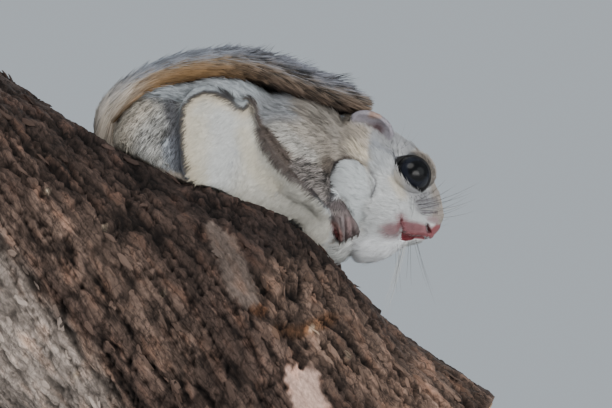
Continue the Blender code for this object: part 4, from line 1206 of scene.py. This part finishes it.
rows = np.linspace(limb_low + 0.3, limb_high - 0.3, BARK_ROWS)
turn_steps = np.linspace(0, 2 * np.pi, BARK_COLUMNS, endpoint=False)
turns = turn_steps - 0.35 * np.sin(turn_steps + np.pi / 2)
spokes = np.cos(turns)[:, None] * LIMB_OUT + np.sin(turns)[:, None] * LIMB_FRONT
limb_radius = np.array([
    [
        OUTSIDE_LIMB
        - limb_tree.ray_cast(Vector(along * LIMB_DOWN + axis + spoke * OUTSIDE_LIMB), Vector(-spoke))[3]
        for spoke in spokes
    ]
    for along in rows
])
for _ in range(10):
    limb_radius = (limb_radius + np.roll(limb_radius, 1, 1) + np.roll(limb_radius, -1, 1)) / 3
    padded = np.pad(limb_radius, ((1, 1), (0, 0)), mode="edge")
    limb_radius = (padded[:-2] + padded[1:-1] + padded[2:]) / 3
centres = rows[:, None] * LIMB_DOWN + axis
bark_rings = centres[:, None] + spokes[None] * limb_radius[..., None]
bark_points, bark_faces = closed_rings(bark_rings, centres[0], centres[-1])
smooth_bark = object_of("smooth_bark", mesh_from("bark", bark_points, bark_faces))


def keep(obj, name, kind, values):
    """Values for the points of an object, kept as a named attribute."""
    layer = obj.data.attributes.new(name, kind, "POINT")
    slot = {"FLOAT": "value", "FLOAT_VECTOR": "vector", "FLOAT_COLOR": "color"}[kind]
    layer.data.foreach_set(slot, np.asarray(values, np.float32).ravel())


# The grain winds round the limb, so patterns on the bark use its place with that winding taken out.
from_axis = bark_points - axis
along, out, front = from_axis @ LIMB_DOWN, from_axis @ LIMB_OUT, from_axis @ LIMB_FRONT
wound = BARK_TWIST * (along - limb_low)
grain = (along, out * np.cos(wound) - front * np.sin(wound), out * np.sin(wound) + front * np.cos(wound))
grain_way = unit(LIMB_DOWN - BARK_TWIST * (out[:, None] * LIMB_FRONT - front[:, None] * LIMB_OUT))
to_end = np.minimum(along - rows[0], rows[-1] - along)

BARK_BROWN = "#483a33"
# Painted shade for the top of the limb.
TOP_SHADE_BROWN = "#2b2220"
CHIP_WOOD = "#a0867a"
WORN_BARK = "#61554e"
SPECK = "#b7a48f"
BARK_ZONES = (
    ("#968a81", ((-92.0, -18.0), (-72.0, -47.0), (-56.0, -66.0), (-46.0, -90.0)), 9.0, 22.0),
    ("#5a4a41", ((-60.0, -14.0), (-40.0, -28.0), (-20.0, -52.0)), 4.0, 16.0),
    ("#69564b", ((15.0, -34.0), (32.0, -50.0), (51.0, -61.0), (66.0, -72.0)), 7.0, 18.0),
    ("#6b4d38", ((10.0, -44.5), (16.0, -45.0), (25.0, -40.5)), 0.8, 3.0),
    ("#68452f", ((-8.6, -17.6), (-7.0, -23.0)), 0.6, 2.4),
    ("#6c4a34", ((2.6, -38.0), (4.6, -39.4)), 0.8, 2.6),
)
SPECKS = ((-41.8, -14.2), (-24.3, -34.3), (-58.7, -3.1), (19.2, -44.0), (-50.0, -58.0), (30.0, -52.0))
WORN_PATCH = [
    (-13.1, -12.5), (-10.5, -11.7), (-3.3, -16.8), (-0.2, -24.5), (4.5, -37.0), (0.2, -38.7), (-5.4, -33.9),
    (-8.5, -24.6),
]
CHIP = [
    (11.0, -57.4), (12.4, -55.1), (13.3, -56.4), (14.6, -54.6), (16.5, -56.2), (19.0, -55.6), (21.5, -57.4),
    (21.6, -61.1),
    (23.4, -64.5), (25.2, -68.2), (27.0, -84.0), (17.0, -84.0), (14.3, -68.4), (12.5, -63.3),
]


def soft_inside(points, outline):
    """1 inside a side-view outline and 0 outside, with an edge as wide as the grid, broken up a little."""
    ragged = points + 0.5 * np.sin(points[:, [2, 1, 0]] * 2.3 + 1.7 * np.sin(points * 1.1))
    to_edge = distance_to(ragged, side_view(outline + outline[:1]))
    return ramp(np.where(inside_outline(ragged, outline), to_edge, -to_edge), -0.7, 0.7)


seen_side = bark_points * (1, 0, 1)
in_front = (front > 8).astype(float)
tint = np.tile(linear(BARK_BROWN), (len(bark_points), 1))
# The top of the limb is darkened: painted shade along its top.
tint += (linear(TOP_SHADE_BROWN) - tint) * ramp(out, 28, 44)[:, None] * 0.6
for colour, line, start, stop in BARK_ZONES:
    tint += (linear(colour) - tint) * (near_line(seen_side, side_view(line), start, stop) * in_front)[:, None]
worn = soft_inside(seen_side, WORN_PATCH) * in_front
tint += (linear(WORN_BARK) - tint) * worn[:, None]
for speck in SPECKS:
    tint += (linear(SPECK) - tint) * (near(seen_side, side_view([speck]), 0.3, 1.2) * in_front)[:, None]
chip = soft_inside(seen_side, CHIP) * in_front
tint += (linear(CHIP_WOOD) - tint) * chip[:, None]
greyed = near_line(seen_side, side_view(BARK_ZONES[0][1]), 9.0, 22.0) * in_front
raised = (1 - 0.25 * greyed) * (1 - 0.5 * worn) * (1 - 0.75 * chip) * ramp(to_end, -0.5, 2.0)
raised[-2:] = 0
keep(smooth_bark, "grain", "FLOAT_VECTOR", np.stack(grain, axis=1))
keep(smooth_bark, "grain_way", "FLOAT_VECTOR", grain_way)
keep(smooth_bark, "raised", "FLOAT", raised)
keep(smooth_bark, "sunk", "FLOAT", chip)
keep(smooth_bark, "flaky", "FLOAT", (1 - 0.85 * worn) * (1 - chip) * ramp(to_end, 1.0, 3.0))
keep(smooth_bark, "tint", "FLOAT_COLOR", np.concatenate([tint, np.ones((len(tint), 1))], axis=1))

# Old bark: brown scales that differ one from the next, with cracks round them and finer cracks across them,
# darkened to near-black as painted shade, low places darkened and raised ones lightened as painted shade and
# light, rusty blotches, and a dry, dull, rough surface. Its patterns read the grain, which is in millimetres.
SCALE_TONES = (0.84, 1.18)
SCALE_PATTERNS = ((1.0, 0.02, 0.13, 0.55), (2.7, 0.0, 0.14, 0.74))
CRACK_PATTERNS = (
    ((0.16, 1.0, 1.0), 0.13, 0.03, 0.4), ((0.35, 1.0, 1.0), 0.26, 0.028, 0.42),
    ((1.0, 0.45, 0.45), 0.22, 0.02, 0.55),
)
RUST = (1.25, 0.9, 0.7)
old_bark, tree = new_material("old_bark")
tint_of = node(tree, "ShaderNodeAttribute", attribute_name="tint")
relief_of, raised_of = (
    node(tree, "ShaderNodeAttribute", out="Fac", attribute_name=name) for name in ("relief", "raised"))
place_of, grain_of = (
    node(tree, "ShaderNodeAttribute", out="Vector", attribute_name=name) for name in ("scale_place", "grain"))
along_grain = node(tree, "ShaderNodeVectorMath", grain_of, (0.5, 1.0, 1.0), operation="MULTIPLY")
fine = node(tree, "ShaderNodeTexNoise", along_grain, scale=1.1, detail=7.0, roughness=0.75)
blotch = node(tree, "ShaderNodeTexNoise", along_grain, scale=0.2, detail=4.0)
broad = node(tree, "ShaderNodeTexNoise", along_grain, scale=0.07, detail=3.0)
# The crack tones darken the cracks round and across the scales as painted shade; the scale tones vary the
# scales at random.
crack_tones, scale_tones = [], []
for scale, start, stop, darkest in SCALE_PATTERNS:
    first, second = (
        node(tree, "ShaderNodeTexVoronoi", place_of, feature=feature, distance="CHEBYCHEV", scale=scale)
        for feature in ("F1", "F2"))
    edge = node(tree, "ShaderNodeMath", second, first, operation="SUBTRACT")
    crack_tones.append(node(tree, "ShaderNodeMapRange", edge, from_min=start, from_max=stop, to_min=darkest))
    chance = node(tree, "ShaderNodeSeparateColor", first.node.outputs["Color"])
    low_tone, high_tone = (1 + (tone - 1) / scale for tone in SCALE_TONES)
    scale_tones.append(node(tree, "ShaderNodeMapRange", chance, to_min=low_tone, to_max=high_tone))
for squash, scale, width, darkest in CRACK_PATTERNS:
    squashed = node(tree, "ShaderNodeVectorMath", grain_of, squash, operation="MULTIPLY")
    winding = node(tree, "ShaderNodeTexNoise", squashed, scale=scale, detail=4.0, roughness=0.55)
    off_line = node(tree, "ShaderNodeMath", winding, 0.5, operation="SUBTRACT")
    how_far = node(tree, "ShaderNodeMath", off_line, operation="ABSOLUTE")
    crack_tones.append(node(tree, "ShaderNodeMapRange", how_far, from_max=width, to_min=darkest))
scale_tones.append(
    node(tree, "ShaderNodeMapRange", blotch, from_min=0.32, from_max=0.68, to_min=0.62, to_max=1.5))
# The relief darkens the low places as painted shade and lightens the raised ones as painted light.
tone = node(tree, "ShaderNodeMapRange", relief_of, from_min=-2.6, from_max=1.6, to_min=0.12, to_max=1.4)
height = fine
for crack_tone in crack_tones:
    height = node(tree, "ShaderNodeMath", height, crack_tone, operation="MULTIPLY")
for factor in crack_tones + scale_tones:
    tone = node(tree, "ShaderNodeMath", tone, factor, operation="MULTIPLY")
tone = node(tree, "ShaderNodeMix", raised_of, 1.0, tone, data_type="FLOAT")
for pattern, start, stop, low_tone, high_tone in (
        (fine, 0.3, 0.72, 0.5, 1.6), (broad, 0.35, 0.65, 0.62, 1.5)):
    factor = node(
        tree, "ShaderNodeMapRange", pattern, from_min=start, from_max=stop, to_min=low_tone, to_max=high_tone)
    tone = node(tree, "ShaderNodeMath", tone, factor, operation="MULTIPLY")
rusty = node(tree, "ShaderNodeMapRange", blotch, from_min=0.52, from_max=0.75, to_max=0.6)
warm = node(tree, "ShaderNodeVectorMath", tint_of, RUST, operation="MULTIPLY")
mixed = node(tree, "ShaderNodeMix", rusty, tint_of, warm, out=2, data_type="RGBA")
node(tree, "ShaderNodeOutputMaterial", node(
    tree, "ShaderNodeBsdfPrincipled",
    base_color=node(tree, "ShaderNodeVectorMath", mixed, tone, operation="SCALE"), roughness=0.88,
    specular_ior_level=0.2,
    normal=node(tree, "ShaderNodeBump", strength=0.75, distance=0.5 * MM, height=height)))

BARK_SHAPE = {
    "Scale length": 12.0, "Scale width": 3.6, "Crack depth": 0.9, "Scale step": 0.9, "Scale lift": 0.8,
    "Roughness depth": 1.9, "Furrow depth": 2.4, "Swell": 2.6, "Chip depth": 0.9,
}
BARK_BEND = (9.0, 3.4, 3.4)


def bark_tree():
    """Geometry Nodes that raise a smooth limb into long scales, each lifting at its lower end, and cracks."""
    tree, given, result = new_tree("bark_relief", BARK_SHAPE)
    grain_at = node(tree, "GeometryNodeInputNamedAttribute", data_type="FLOAT_VECTOR", name="grain")
    warp = node(tree, "ShaderNodeTexNoise", grain_at, out="Color", scale=0.11, detail=4.0)
    bend = node(tree, "ShaderNodeVectorMath", warp, (0.5, 0.5, 0.5), operation="SUBTRACT")
    bend = node(tree, "ShaderNodeVectorMath", bend, BARK_BEND, operation="MULTIPLY")
    bent = node(tree, "ShaderNodeVectorMath", grain_at, bend, operation="ADD")
    width = given["Scale width"]
    size = node(tree, "ShaderNodeCombineXYZ", given["Scale length"], width, width)
    place = node(tree, "ShaderNodeVectorMath", bent, size, operation="DIVIDE")
    cell, next_cell = (
        node(tree, "ShaderNodeTexVoronoi", place, feature=feature, distance="CHEBYCHEV", scale=1.0)
        for feature in ("F1", "F2"))
    edge = node(tree, "ShaderNodeMath", next_cell, cell, operation="SUBTRACT")
    crack = node(tree, "ShaderNodeMapRange", edge, from_max=0.14, to_min=-1.0, to_max=0.0)
    within = node(tree, "ShaderNodeVectorMath", place, cell.node.outputs["Position"], operation="SUBTRACT")
    lift = node(tree, "ShaderNodeSeparateXYZ", within)
    stretched = node(tree, "ShaderNodeVectorMath", bent, (0.3, 1.0, 1.0), operation="MULTIPLY")
    rough = node(tree, "ShaderNodeTexNoise", stretched, scale=0.55, detail=5.0, roughness=0.65)
    coarse = node(tree, "ShaderNodeTexNoise", grain_at, scale=0.06, detail=2.0)
    run = node(tree, "ShaderNodeVectorMath", bent, (0.16, 1.0, 1.0), operation="MULTIPLY")
    winding = node(tree, "ShaderNodeTexNoise", run, scale=0.13, detail=2.0)
    chance = node(tree, "FunctionNodeSeparateColor", cell.node.outputs["Color"])
    step, bumps, swell, off_furrow = (
        node(tree, "ShaderNodeMath", share, 0.5, operation="SUBTRACT")
        for share in (chance, rough, coarse, winding))
    off_furrow = node(tree, "ShaderNodeMath", off_furrow, operation="ABSOLUTE")
    furrow = node(tree, "ShaderNodeMapRange", off_furrow, from_max=0.035, to_min=-1.0, to_max=0.0)
    total = node(tree, "ShaderNodeMath", crack, given["Crack depth"], operation="MULTIPLY")
    for share, depth in (
            (furrow, "Furrow depth"), (step, "Scale step"), (lift, "Scale lift"), (bumps, "Roughness depth"),
            (swell, "Swell")):
        total = node(tree, "ShaderNodeMath", share, given[depth], total, operation="MULTIPLY_ADD")
    raised_at, sunk_at = (
        node(tree, "GeometryNodeInputNamedAttribute", data_type="FLOAT", name=name)
        for name in ("raised", "sunk"))
    total = node(tree, "ShaderNodeMath", total, raised_at, operation="MULTIPLY")
    chip_depth = node(tree, "ShaderNodeMath", sunk_at, given["Chip depth"], operation="MULTIPLY")
    height = node(tree, "ShaderNodeMath", total, chip_depth, operation="SUBTRACT")
    height = node(tree, "ShaderNodeMath", height, MM, operation="MULTIPLY")
    offset = node(
        tree, "ShaderNodeVectorMath", node(tree, "GeometryNodeInputNormal"), height, operation="SCALE")
    kept = node(tree, "GeometryNodeStoreNamedAttribute", given["Geometry"], name="relief", value=total)
    kept = node(
        tree, "GeometryNodeStoreNamedAttribute", kept, data_type="FLOAT_VECTOR", name="scale_place",
        value=place)
    moved = node(tree, "GeometryNodeSetPosition", kept, offset=offset)
    realized = node(tree, "GeometryNodeRealizeInstances", moved)
    tree.links.new(node(tree, "GeometryNodeSetMaterial", realized, material=old_bark), result)
    return tree


bark = object_of("bark", grown_mesh(smooth_bark, bark_tree(), BARK_SHAPE))
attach(bark, "root")
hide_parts("perch_limb")

# Loose bark flakes
# Thin dead scales of the same bark have come loose and curl off it all over the limb. Geometry Nodes strew
# small bevelled plates along the grain of the raised bark and roughen each one's outline.

FLAKES = {
    "Flakes per area": 8000.0, "Length": 5.2 * MM, "Width": 1.5 * MM, "Thickness": 0.3 * MM,
    "Ragged edge": 1.6 * MM, "Seed": 4,
}
FLAKE_TIPPING = ((-0.12, -0.14, -0.3), (0.12, 0.03, 0.3))
FLAKE_SPREAD = ((0.45, 0.5, 0.6), (1.5, 1.5, 1.3))
FLAKE_SIDES = 7


def flake_tree():
    """Geometry Nodes that strew bark flakes along a surface's grain, fewer where it is less flaky."""
    tree, given, result = new_tree("bark_flakes", FLAKES)
    flaky = node(tree, "GeometryNodeInputNamedAttribute", data_type="FLOAT", name="flaky")
    density = node(tree, "ShaderNodeMath", flaky, given["Flakes per area"], operation="MULTIPLY")
    strewn = node(
        tree, "GeometryNodeDistributePointsOnFaces", given["Geometry"], density=density, seed=given["Seed"])
    upright = node(tree, "FunctionNodeAlignRotationToVector", axis="Z", vector=strewn.node.outputs["Normal"])
    grain_way = node(tree, "GeometryNodeInputNamedAttribute", data_type="FLOAT_VECTOR", name="grain_way")
    turned = node(
        tree, "FunctionNodeAlignRotationToVector", upright, axis="X", pivot_axis="Z", vector=grain_way)
    tip, spread, place = (
        node(tree, "FunctionNodeRandomValue", least, most, data_type="FLOAT_VECTOR")
        for least, most in (FLAKE_TIPPING, FLAKE_SPREAD, ((0.0, 0.0, 0.0), (40.0, 40.0, 40.0))))
    tipped = node(
        tree, "FunctionNodeRotateRotation", turned, node(tree, "FunctionNodeEulerToRotation", tip),
        rotation_space="LOCAL")
    size = node(tree, "ShaderNodeCombineXYZ", given["Length"], given["Width"], given["Thickness"])
    plate = node(
        tree, "GeometryNodeMeshCone", vertices=FLAKE_SIDES, side_segments=1, radius_top=0.34,
        radius_bottom=0.5, depth=1.0)
    strew = node(
        tree, "GeometryNodeInstanceOnPoints", strewn, instance=plate, rotation=tipped,
        scale=node(tree, "ShaderNodeVectorMath", spread, size, operation="MULTIPLY"))
    toned = node(
        tree, "GeometryNodeStoreNamedAttribute", strew, data_type="FLOAT_VECTOR", domain="INSTANCE",
        name="scale_place", value=place)
    toned = node(tree, "GeometryNodeStoreNamedAttribute", toned, domain="INSTANCE", name="raised", value=0.0)
    realized = node(tree, "GeometryNodeRealizeInstances", toned)
    here = node(tree, "GeometryNodeInputPosition")
    noise = node(tree, "ShaderNodeTexNoise", here, out="Color", scale=0.9 / MM, detail=1.0)
    ragged = node(tree, "ShaderNodeVectorMath", noise, (0.5, 0.5, 0.5), operation="SUBTRACT")
    ragged = node(tree, "ShaderNodeVectorMath", ragged, given["Ragged edge"], operation="SCALE")
    moved = node(tree, "GeometryNodeSetPosition", realized, offset=ragged)
    tree.links.new(node(tree, "GeometryNodeSetMaterial", moved, material=old_bark), result)
    return tree


flakes = object_of("bark_flakes", grown_mesh(object_of("limb", bark.data.copy()), flake_tree(), FLAKES))
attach(flakes, "root")

# Sawn ends
# The limb is sawn square at both ends, so its pale wood shows there inside the bark, with fine growth rings.
# Each end is a thin turned disc laid on the cut.

END_SHARE = 0.955
END_RINGS = 8
END_THICKNESS = 0.5
RING_SPACING = 1.7
RING_WAVER = 7.0
EARLY_WOOD, LATE_WOOD = "#b4946f", "#7d5f46"

# Raw sawn wood: dry and dull, dark late rings between pale early ones, slightly ridged by the saw.
sawn_wood, tree = new_material("sawn_wood")
ring_place = node(tree, "ShaderNodeAttribute", out="Vector", attribute_name="ring_place")
waver = node(tree, "ShaderNodeTexNoise", ring_place, scale=0.06, detail=3.0)
reach_of = node(tree, "ShaderNodeVectorMath", ring_place, out="Value", operation="LENGTH")
wavering = node(tree, "ShaderNodeMath", waver, RING_WAVER, reach_of, operation="MULTIPLY_ADD")
turn = node(tree, "ShaderNodeMath", wavering, 2 * math.pi / RING_SPACING, operation="MULTIPLY")
wave = node(tree, "ShaderNodeMath", turn, operation="SINE")
early = node(tree, "ShaderNodeMapRange", wave, from_min=-1.0)
wood = node(
    tree, "ShaderNodeMix", early, (*linear(LATE_WOOD), 1), (*linear(EARLY_WOOD), 1), out=2, data_type="RGBA")
node(tree, "ShaderNodeOutputMaterial", node(
    tree, "ShaderNodeBsdfPrincipled",
    base_color=wood, roughness=0.8,
    normal=node(tree, "ShaderNodeBump", strength=0.4, distance=0.3 * MM, height=early)))
for name, row, outward_sign in (("sawn_end_upper", 0, -1), ("sawn_end_lower", -1, 1)):
    shares = np.concatenate([np.linspace(0.02, 1, END_RINGS), [1.0]])
    lifts = np.concatenate([np.full(END_RINGS, END_THICKNESS), [0.0]]) * outward_sign
    rings_of = centres[row] + spokes[None] * (shares[:, None] * limb_radius[row] * END_SHARE)[..., None]
    rings_of = rings_of + lifts[:, None, None] * LIMB_DOWN
    middle = centres[row] + outward_sign * END_THICKNESS * LIMB_DOWN
    end_points, end_faces = closed_rings(rings_of, middle, centres[row])
    end = object_of(name, mesh_from(name, end_points, end_faces))
    from_middle = end_points - centres[row]
    keep(end, "ring_place", "FLOAT_VECTOR", np.stack(
        [from_middle @ LIMB_OUT, from_middle @ LIMB_FRONT, np.full(len(end_points), 3.0 * row)], axis=1))
    end.data.materials.append(sawn_wood)
    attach(end, "root")

# Display stand
# A plain stand holds the limb at its slope: a stained and lacquered hardwood base with eased edges, its grain
# running along it, and two brushed steel rods, each in a turned collar, that run up into the limb.

EDGE_RADIUS = 1.6
ROD_SEGMENTS = 64
COLLAR_RADIUS, COLLAR_HEIGHT, COLLAR_EDGE = 6.4, 3.0, 0.6
low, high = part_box("stand_base")
bm = bmesh.new()
bmesh.ops.create_cube(bm, size=1.0)
bmesh.ops.scale(bm, vec=[b - a for a, b in zip(low, high)], verts=bm.verts)
bmesh.ops.translate(bm, vec=[(a + b) / 2 for a, b in zip(low, high)], verts=bm.verts)
bmesh.ops.bevel(bm, geom=bm.edges[:], offset=EDGE_RADIUS * MM, segments=5, profile=0.5, affect="EDGES")
base_mesh = bpy.data.meshes.new("stand_base")
bm.to_mesh(base_mesh)
bm.free()
for polygon in base_mesh.polygons:
    polygon.use_smooth = polygon.area < 0.0004
base = object_of("stand_base_wood", base_mesh)

# Dark stained wood under satin lacquer: long streaky grain with fine dark pores.
stained_wood, tree = new_material("stained_wood")
on_board = node(tree, "ShaderNodeTexCoord", out="Object")
along_board = node(
    tree, "ShaderNodeVectorMath", on_board, (0.06 / MM, 0.9 / MM, 0.9 / MM), operation="MULTIPLY")
streak = node(tree, "ShaderNodeTexNoise", along_board, scale=0.35, detail=6.0, distortion=0.6)
pores = node(tree, "ShaderNodeTexNoise", along_board, scale=3.0, detail=3.0)
pore_tone = node(tree, "ShaderNodeMapRange", pores, from_min=0.35, from_max=0.5, to_min=0.55)
streak_share = node(tree, "ShaderNodeMapRange", streak, from_min=0.3, from_max=0.7)
streaked = node(
    tree, "ShaderNodeMix", streak_share, (*linear("#2c1b13"), 1), (*linear("#573623"), 1), out=2,
    data_type="RGBA")
node(tree, "ShaderNodeOutputMaterial", node(
    tree, "ShaderNodeBsdfPrincipled",
    base_color=node(tree, "ShaderNodeVectorMath", streaked, pore_tone, operation="SCALE"),
    roughness=0.42, coat_weight=0.35, coat_roughness=0.18,
    normal=node(tree, "ShaderNodeBump", strength=0.15, distance=0.1 * MM, height=pore_tone)))
base_mesh.materials.append(stained_wood)
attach(base, "root")
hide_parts("stand_base")

# Steel brushed round and round: fine lines that smear the light across each rod.
steel, tree = new_material("brushed_steel")
on_rod = node(tree, "ShaderNodeTexCoord", out="Object")
along_rod = node(
    tree, "ShaderNodeVectorMath", on_rod, (0.1 / MM, 0.1 / MM, 6.0 / MM), operation="MULTIPLY")
brushing = node(tree, "ShaderNodeTexNoise", along_rod, scale=1.0, detail=4.0)
node(tree, "ShaderNodeOutputMaterial", node(
    tree, "ShaderNodeBsdfPrincipled",
    base_color=(*linear("#a3a4a5"), 1), metallic=1.0,
    roughness=node(tree, "ShaderNodeMapRange", brushing, to_min=0.28, to_max=0.5)))
for rod_name in ("stand_rod_1", "stand_rod_2"):
    rod_low, rod_high = (np.array(corner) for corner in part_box(rod_name))
    middle = (rod_low + rod_high) / 2
    foot, top = high[2], rod_high[2]
    radius = (rod_high[0] - rod_low[0]) / 2
    edge, collar, rim = COLLAR_EDGE * MM, COLLAR_RADIUS * MM, foot + COLLAR_HEIGHT * MM
    profile = (
        (0.0, foot), (collar, foot), (collar, rim - edge), (collar - edge, rim), (radius, rim), (radius, top),
        (0.0, top),
    )
    bm = bmesh.new()
    line = [bm.verts.new((middle[0] + across_x, middle[1], height)) for across_x, height in profile]
    edges = [bm.edges.new(pair) for pair in zip(line[:-1], line[1:])]
    bmesh.ops.spin(
        bm, geom=line + edges, cent=middle, axis=(0, 0, 1), angle=2 * math.pi, steps=ROD_SEGMENTS,
        use_merge=True)
    bmesh.ops.remove_doubles(bm, verts=bm.verts, dist=0.000001)
    bmesh.ops.recalc_face_normals(bm, faces=bm.faces)
    rod_mesh = bpy.data.meshes.new(rod_name)
    bm.to_mesh(rod_mesh)
    bm.free()
    rod_mesh.shade_smooth()
    rod_mesh.set_sharp_from_angle(angle=math.radians(30))
    rod_mesh.materials.append(steel)
    rod = object_of(rod_name + "_steel", rod_mesh)
    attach(rod, "root")
    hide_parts(rod_name)

# Camera, light and floor
# A long lens stands off the squirrel's right side and looks a little up at it, as in the photo, under soft
# lamps and a pale blue sky. The floor is only a stage for it.

cam_data = bpy.data.cameras.new("camera")
camera = object_of("camera", cam_data)
target = Vector(sized((17.4, 0.0, -1.2)))
LOOK_UP = math.radians(8.0)
DISTANCE = 0.9
SENSOR_WIDTH = 36
SEEN_WIDTH = 0.1897
camera.location = target + Vector((0, -math.cos(LOOK_UP), -math.sin(LOOK_UP))) * DISTANCE
camera.rotation_euler = (target - camera.location).to_track_quat("-Z", "Y").to_euler()
cam_data.sensor_width = SENSOR_WIDTH
cam_data.lens = SENSOR_WIDTH * DISTANCE / SEEN_WIDTH
bpy.context.scene.camera = camera


def area_light(name, place, size, power, colour=(1, 1, 1)):
    """A round soft lamp that shines at the middle of the picture."""
    data = bpy.data.lights.new(name, "AREA")
    data.shape = "DISK"
    data.size = size
    data.energy = power
    data.color = colour
    lamp = object_of(name, data)
    lamp.location = Vector(place)
    lamp.rotation_euler = (target - lamp.location).to_track_quat("-Z", "Y").to_euler()


area_light("key", (-0.35, -0.9, 1.3), 1.0, 10.8, (1.0, 0.98, 0.95))
area_light("fill", (1.0, -0.8, 0.4), 1.2, 5.3, (0.95, 0.98, 1.0))
area_light("back", (0.5, 0.9, 0.9), 0.9, 6.4)
area_light("low", (0.3, -0.8, 0.03), 0.7, 8.5, (1.0, 0.98, 0.95))
world = bpy.data.worlds.new("studio")
bpy.context.scene.world = world
world.use_nodes = True
world.node_tree.nodes["Background"].inputs[0].default_value = (0.80, 0.88, 0.95, 1)
world.node_tree.nodes["Background"].inputs[1].default_value = 0.55
floor_mesh = bpy.data.meshes.new("floor")
bm = bmesh.new()
bmesh.ops.create_grid(bm, x_segments=1, y_segments=1, size=2.0)
bm.to_mesh(floor_mesh)
bm.free()
floor = object_of("floor", floor_mesh)
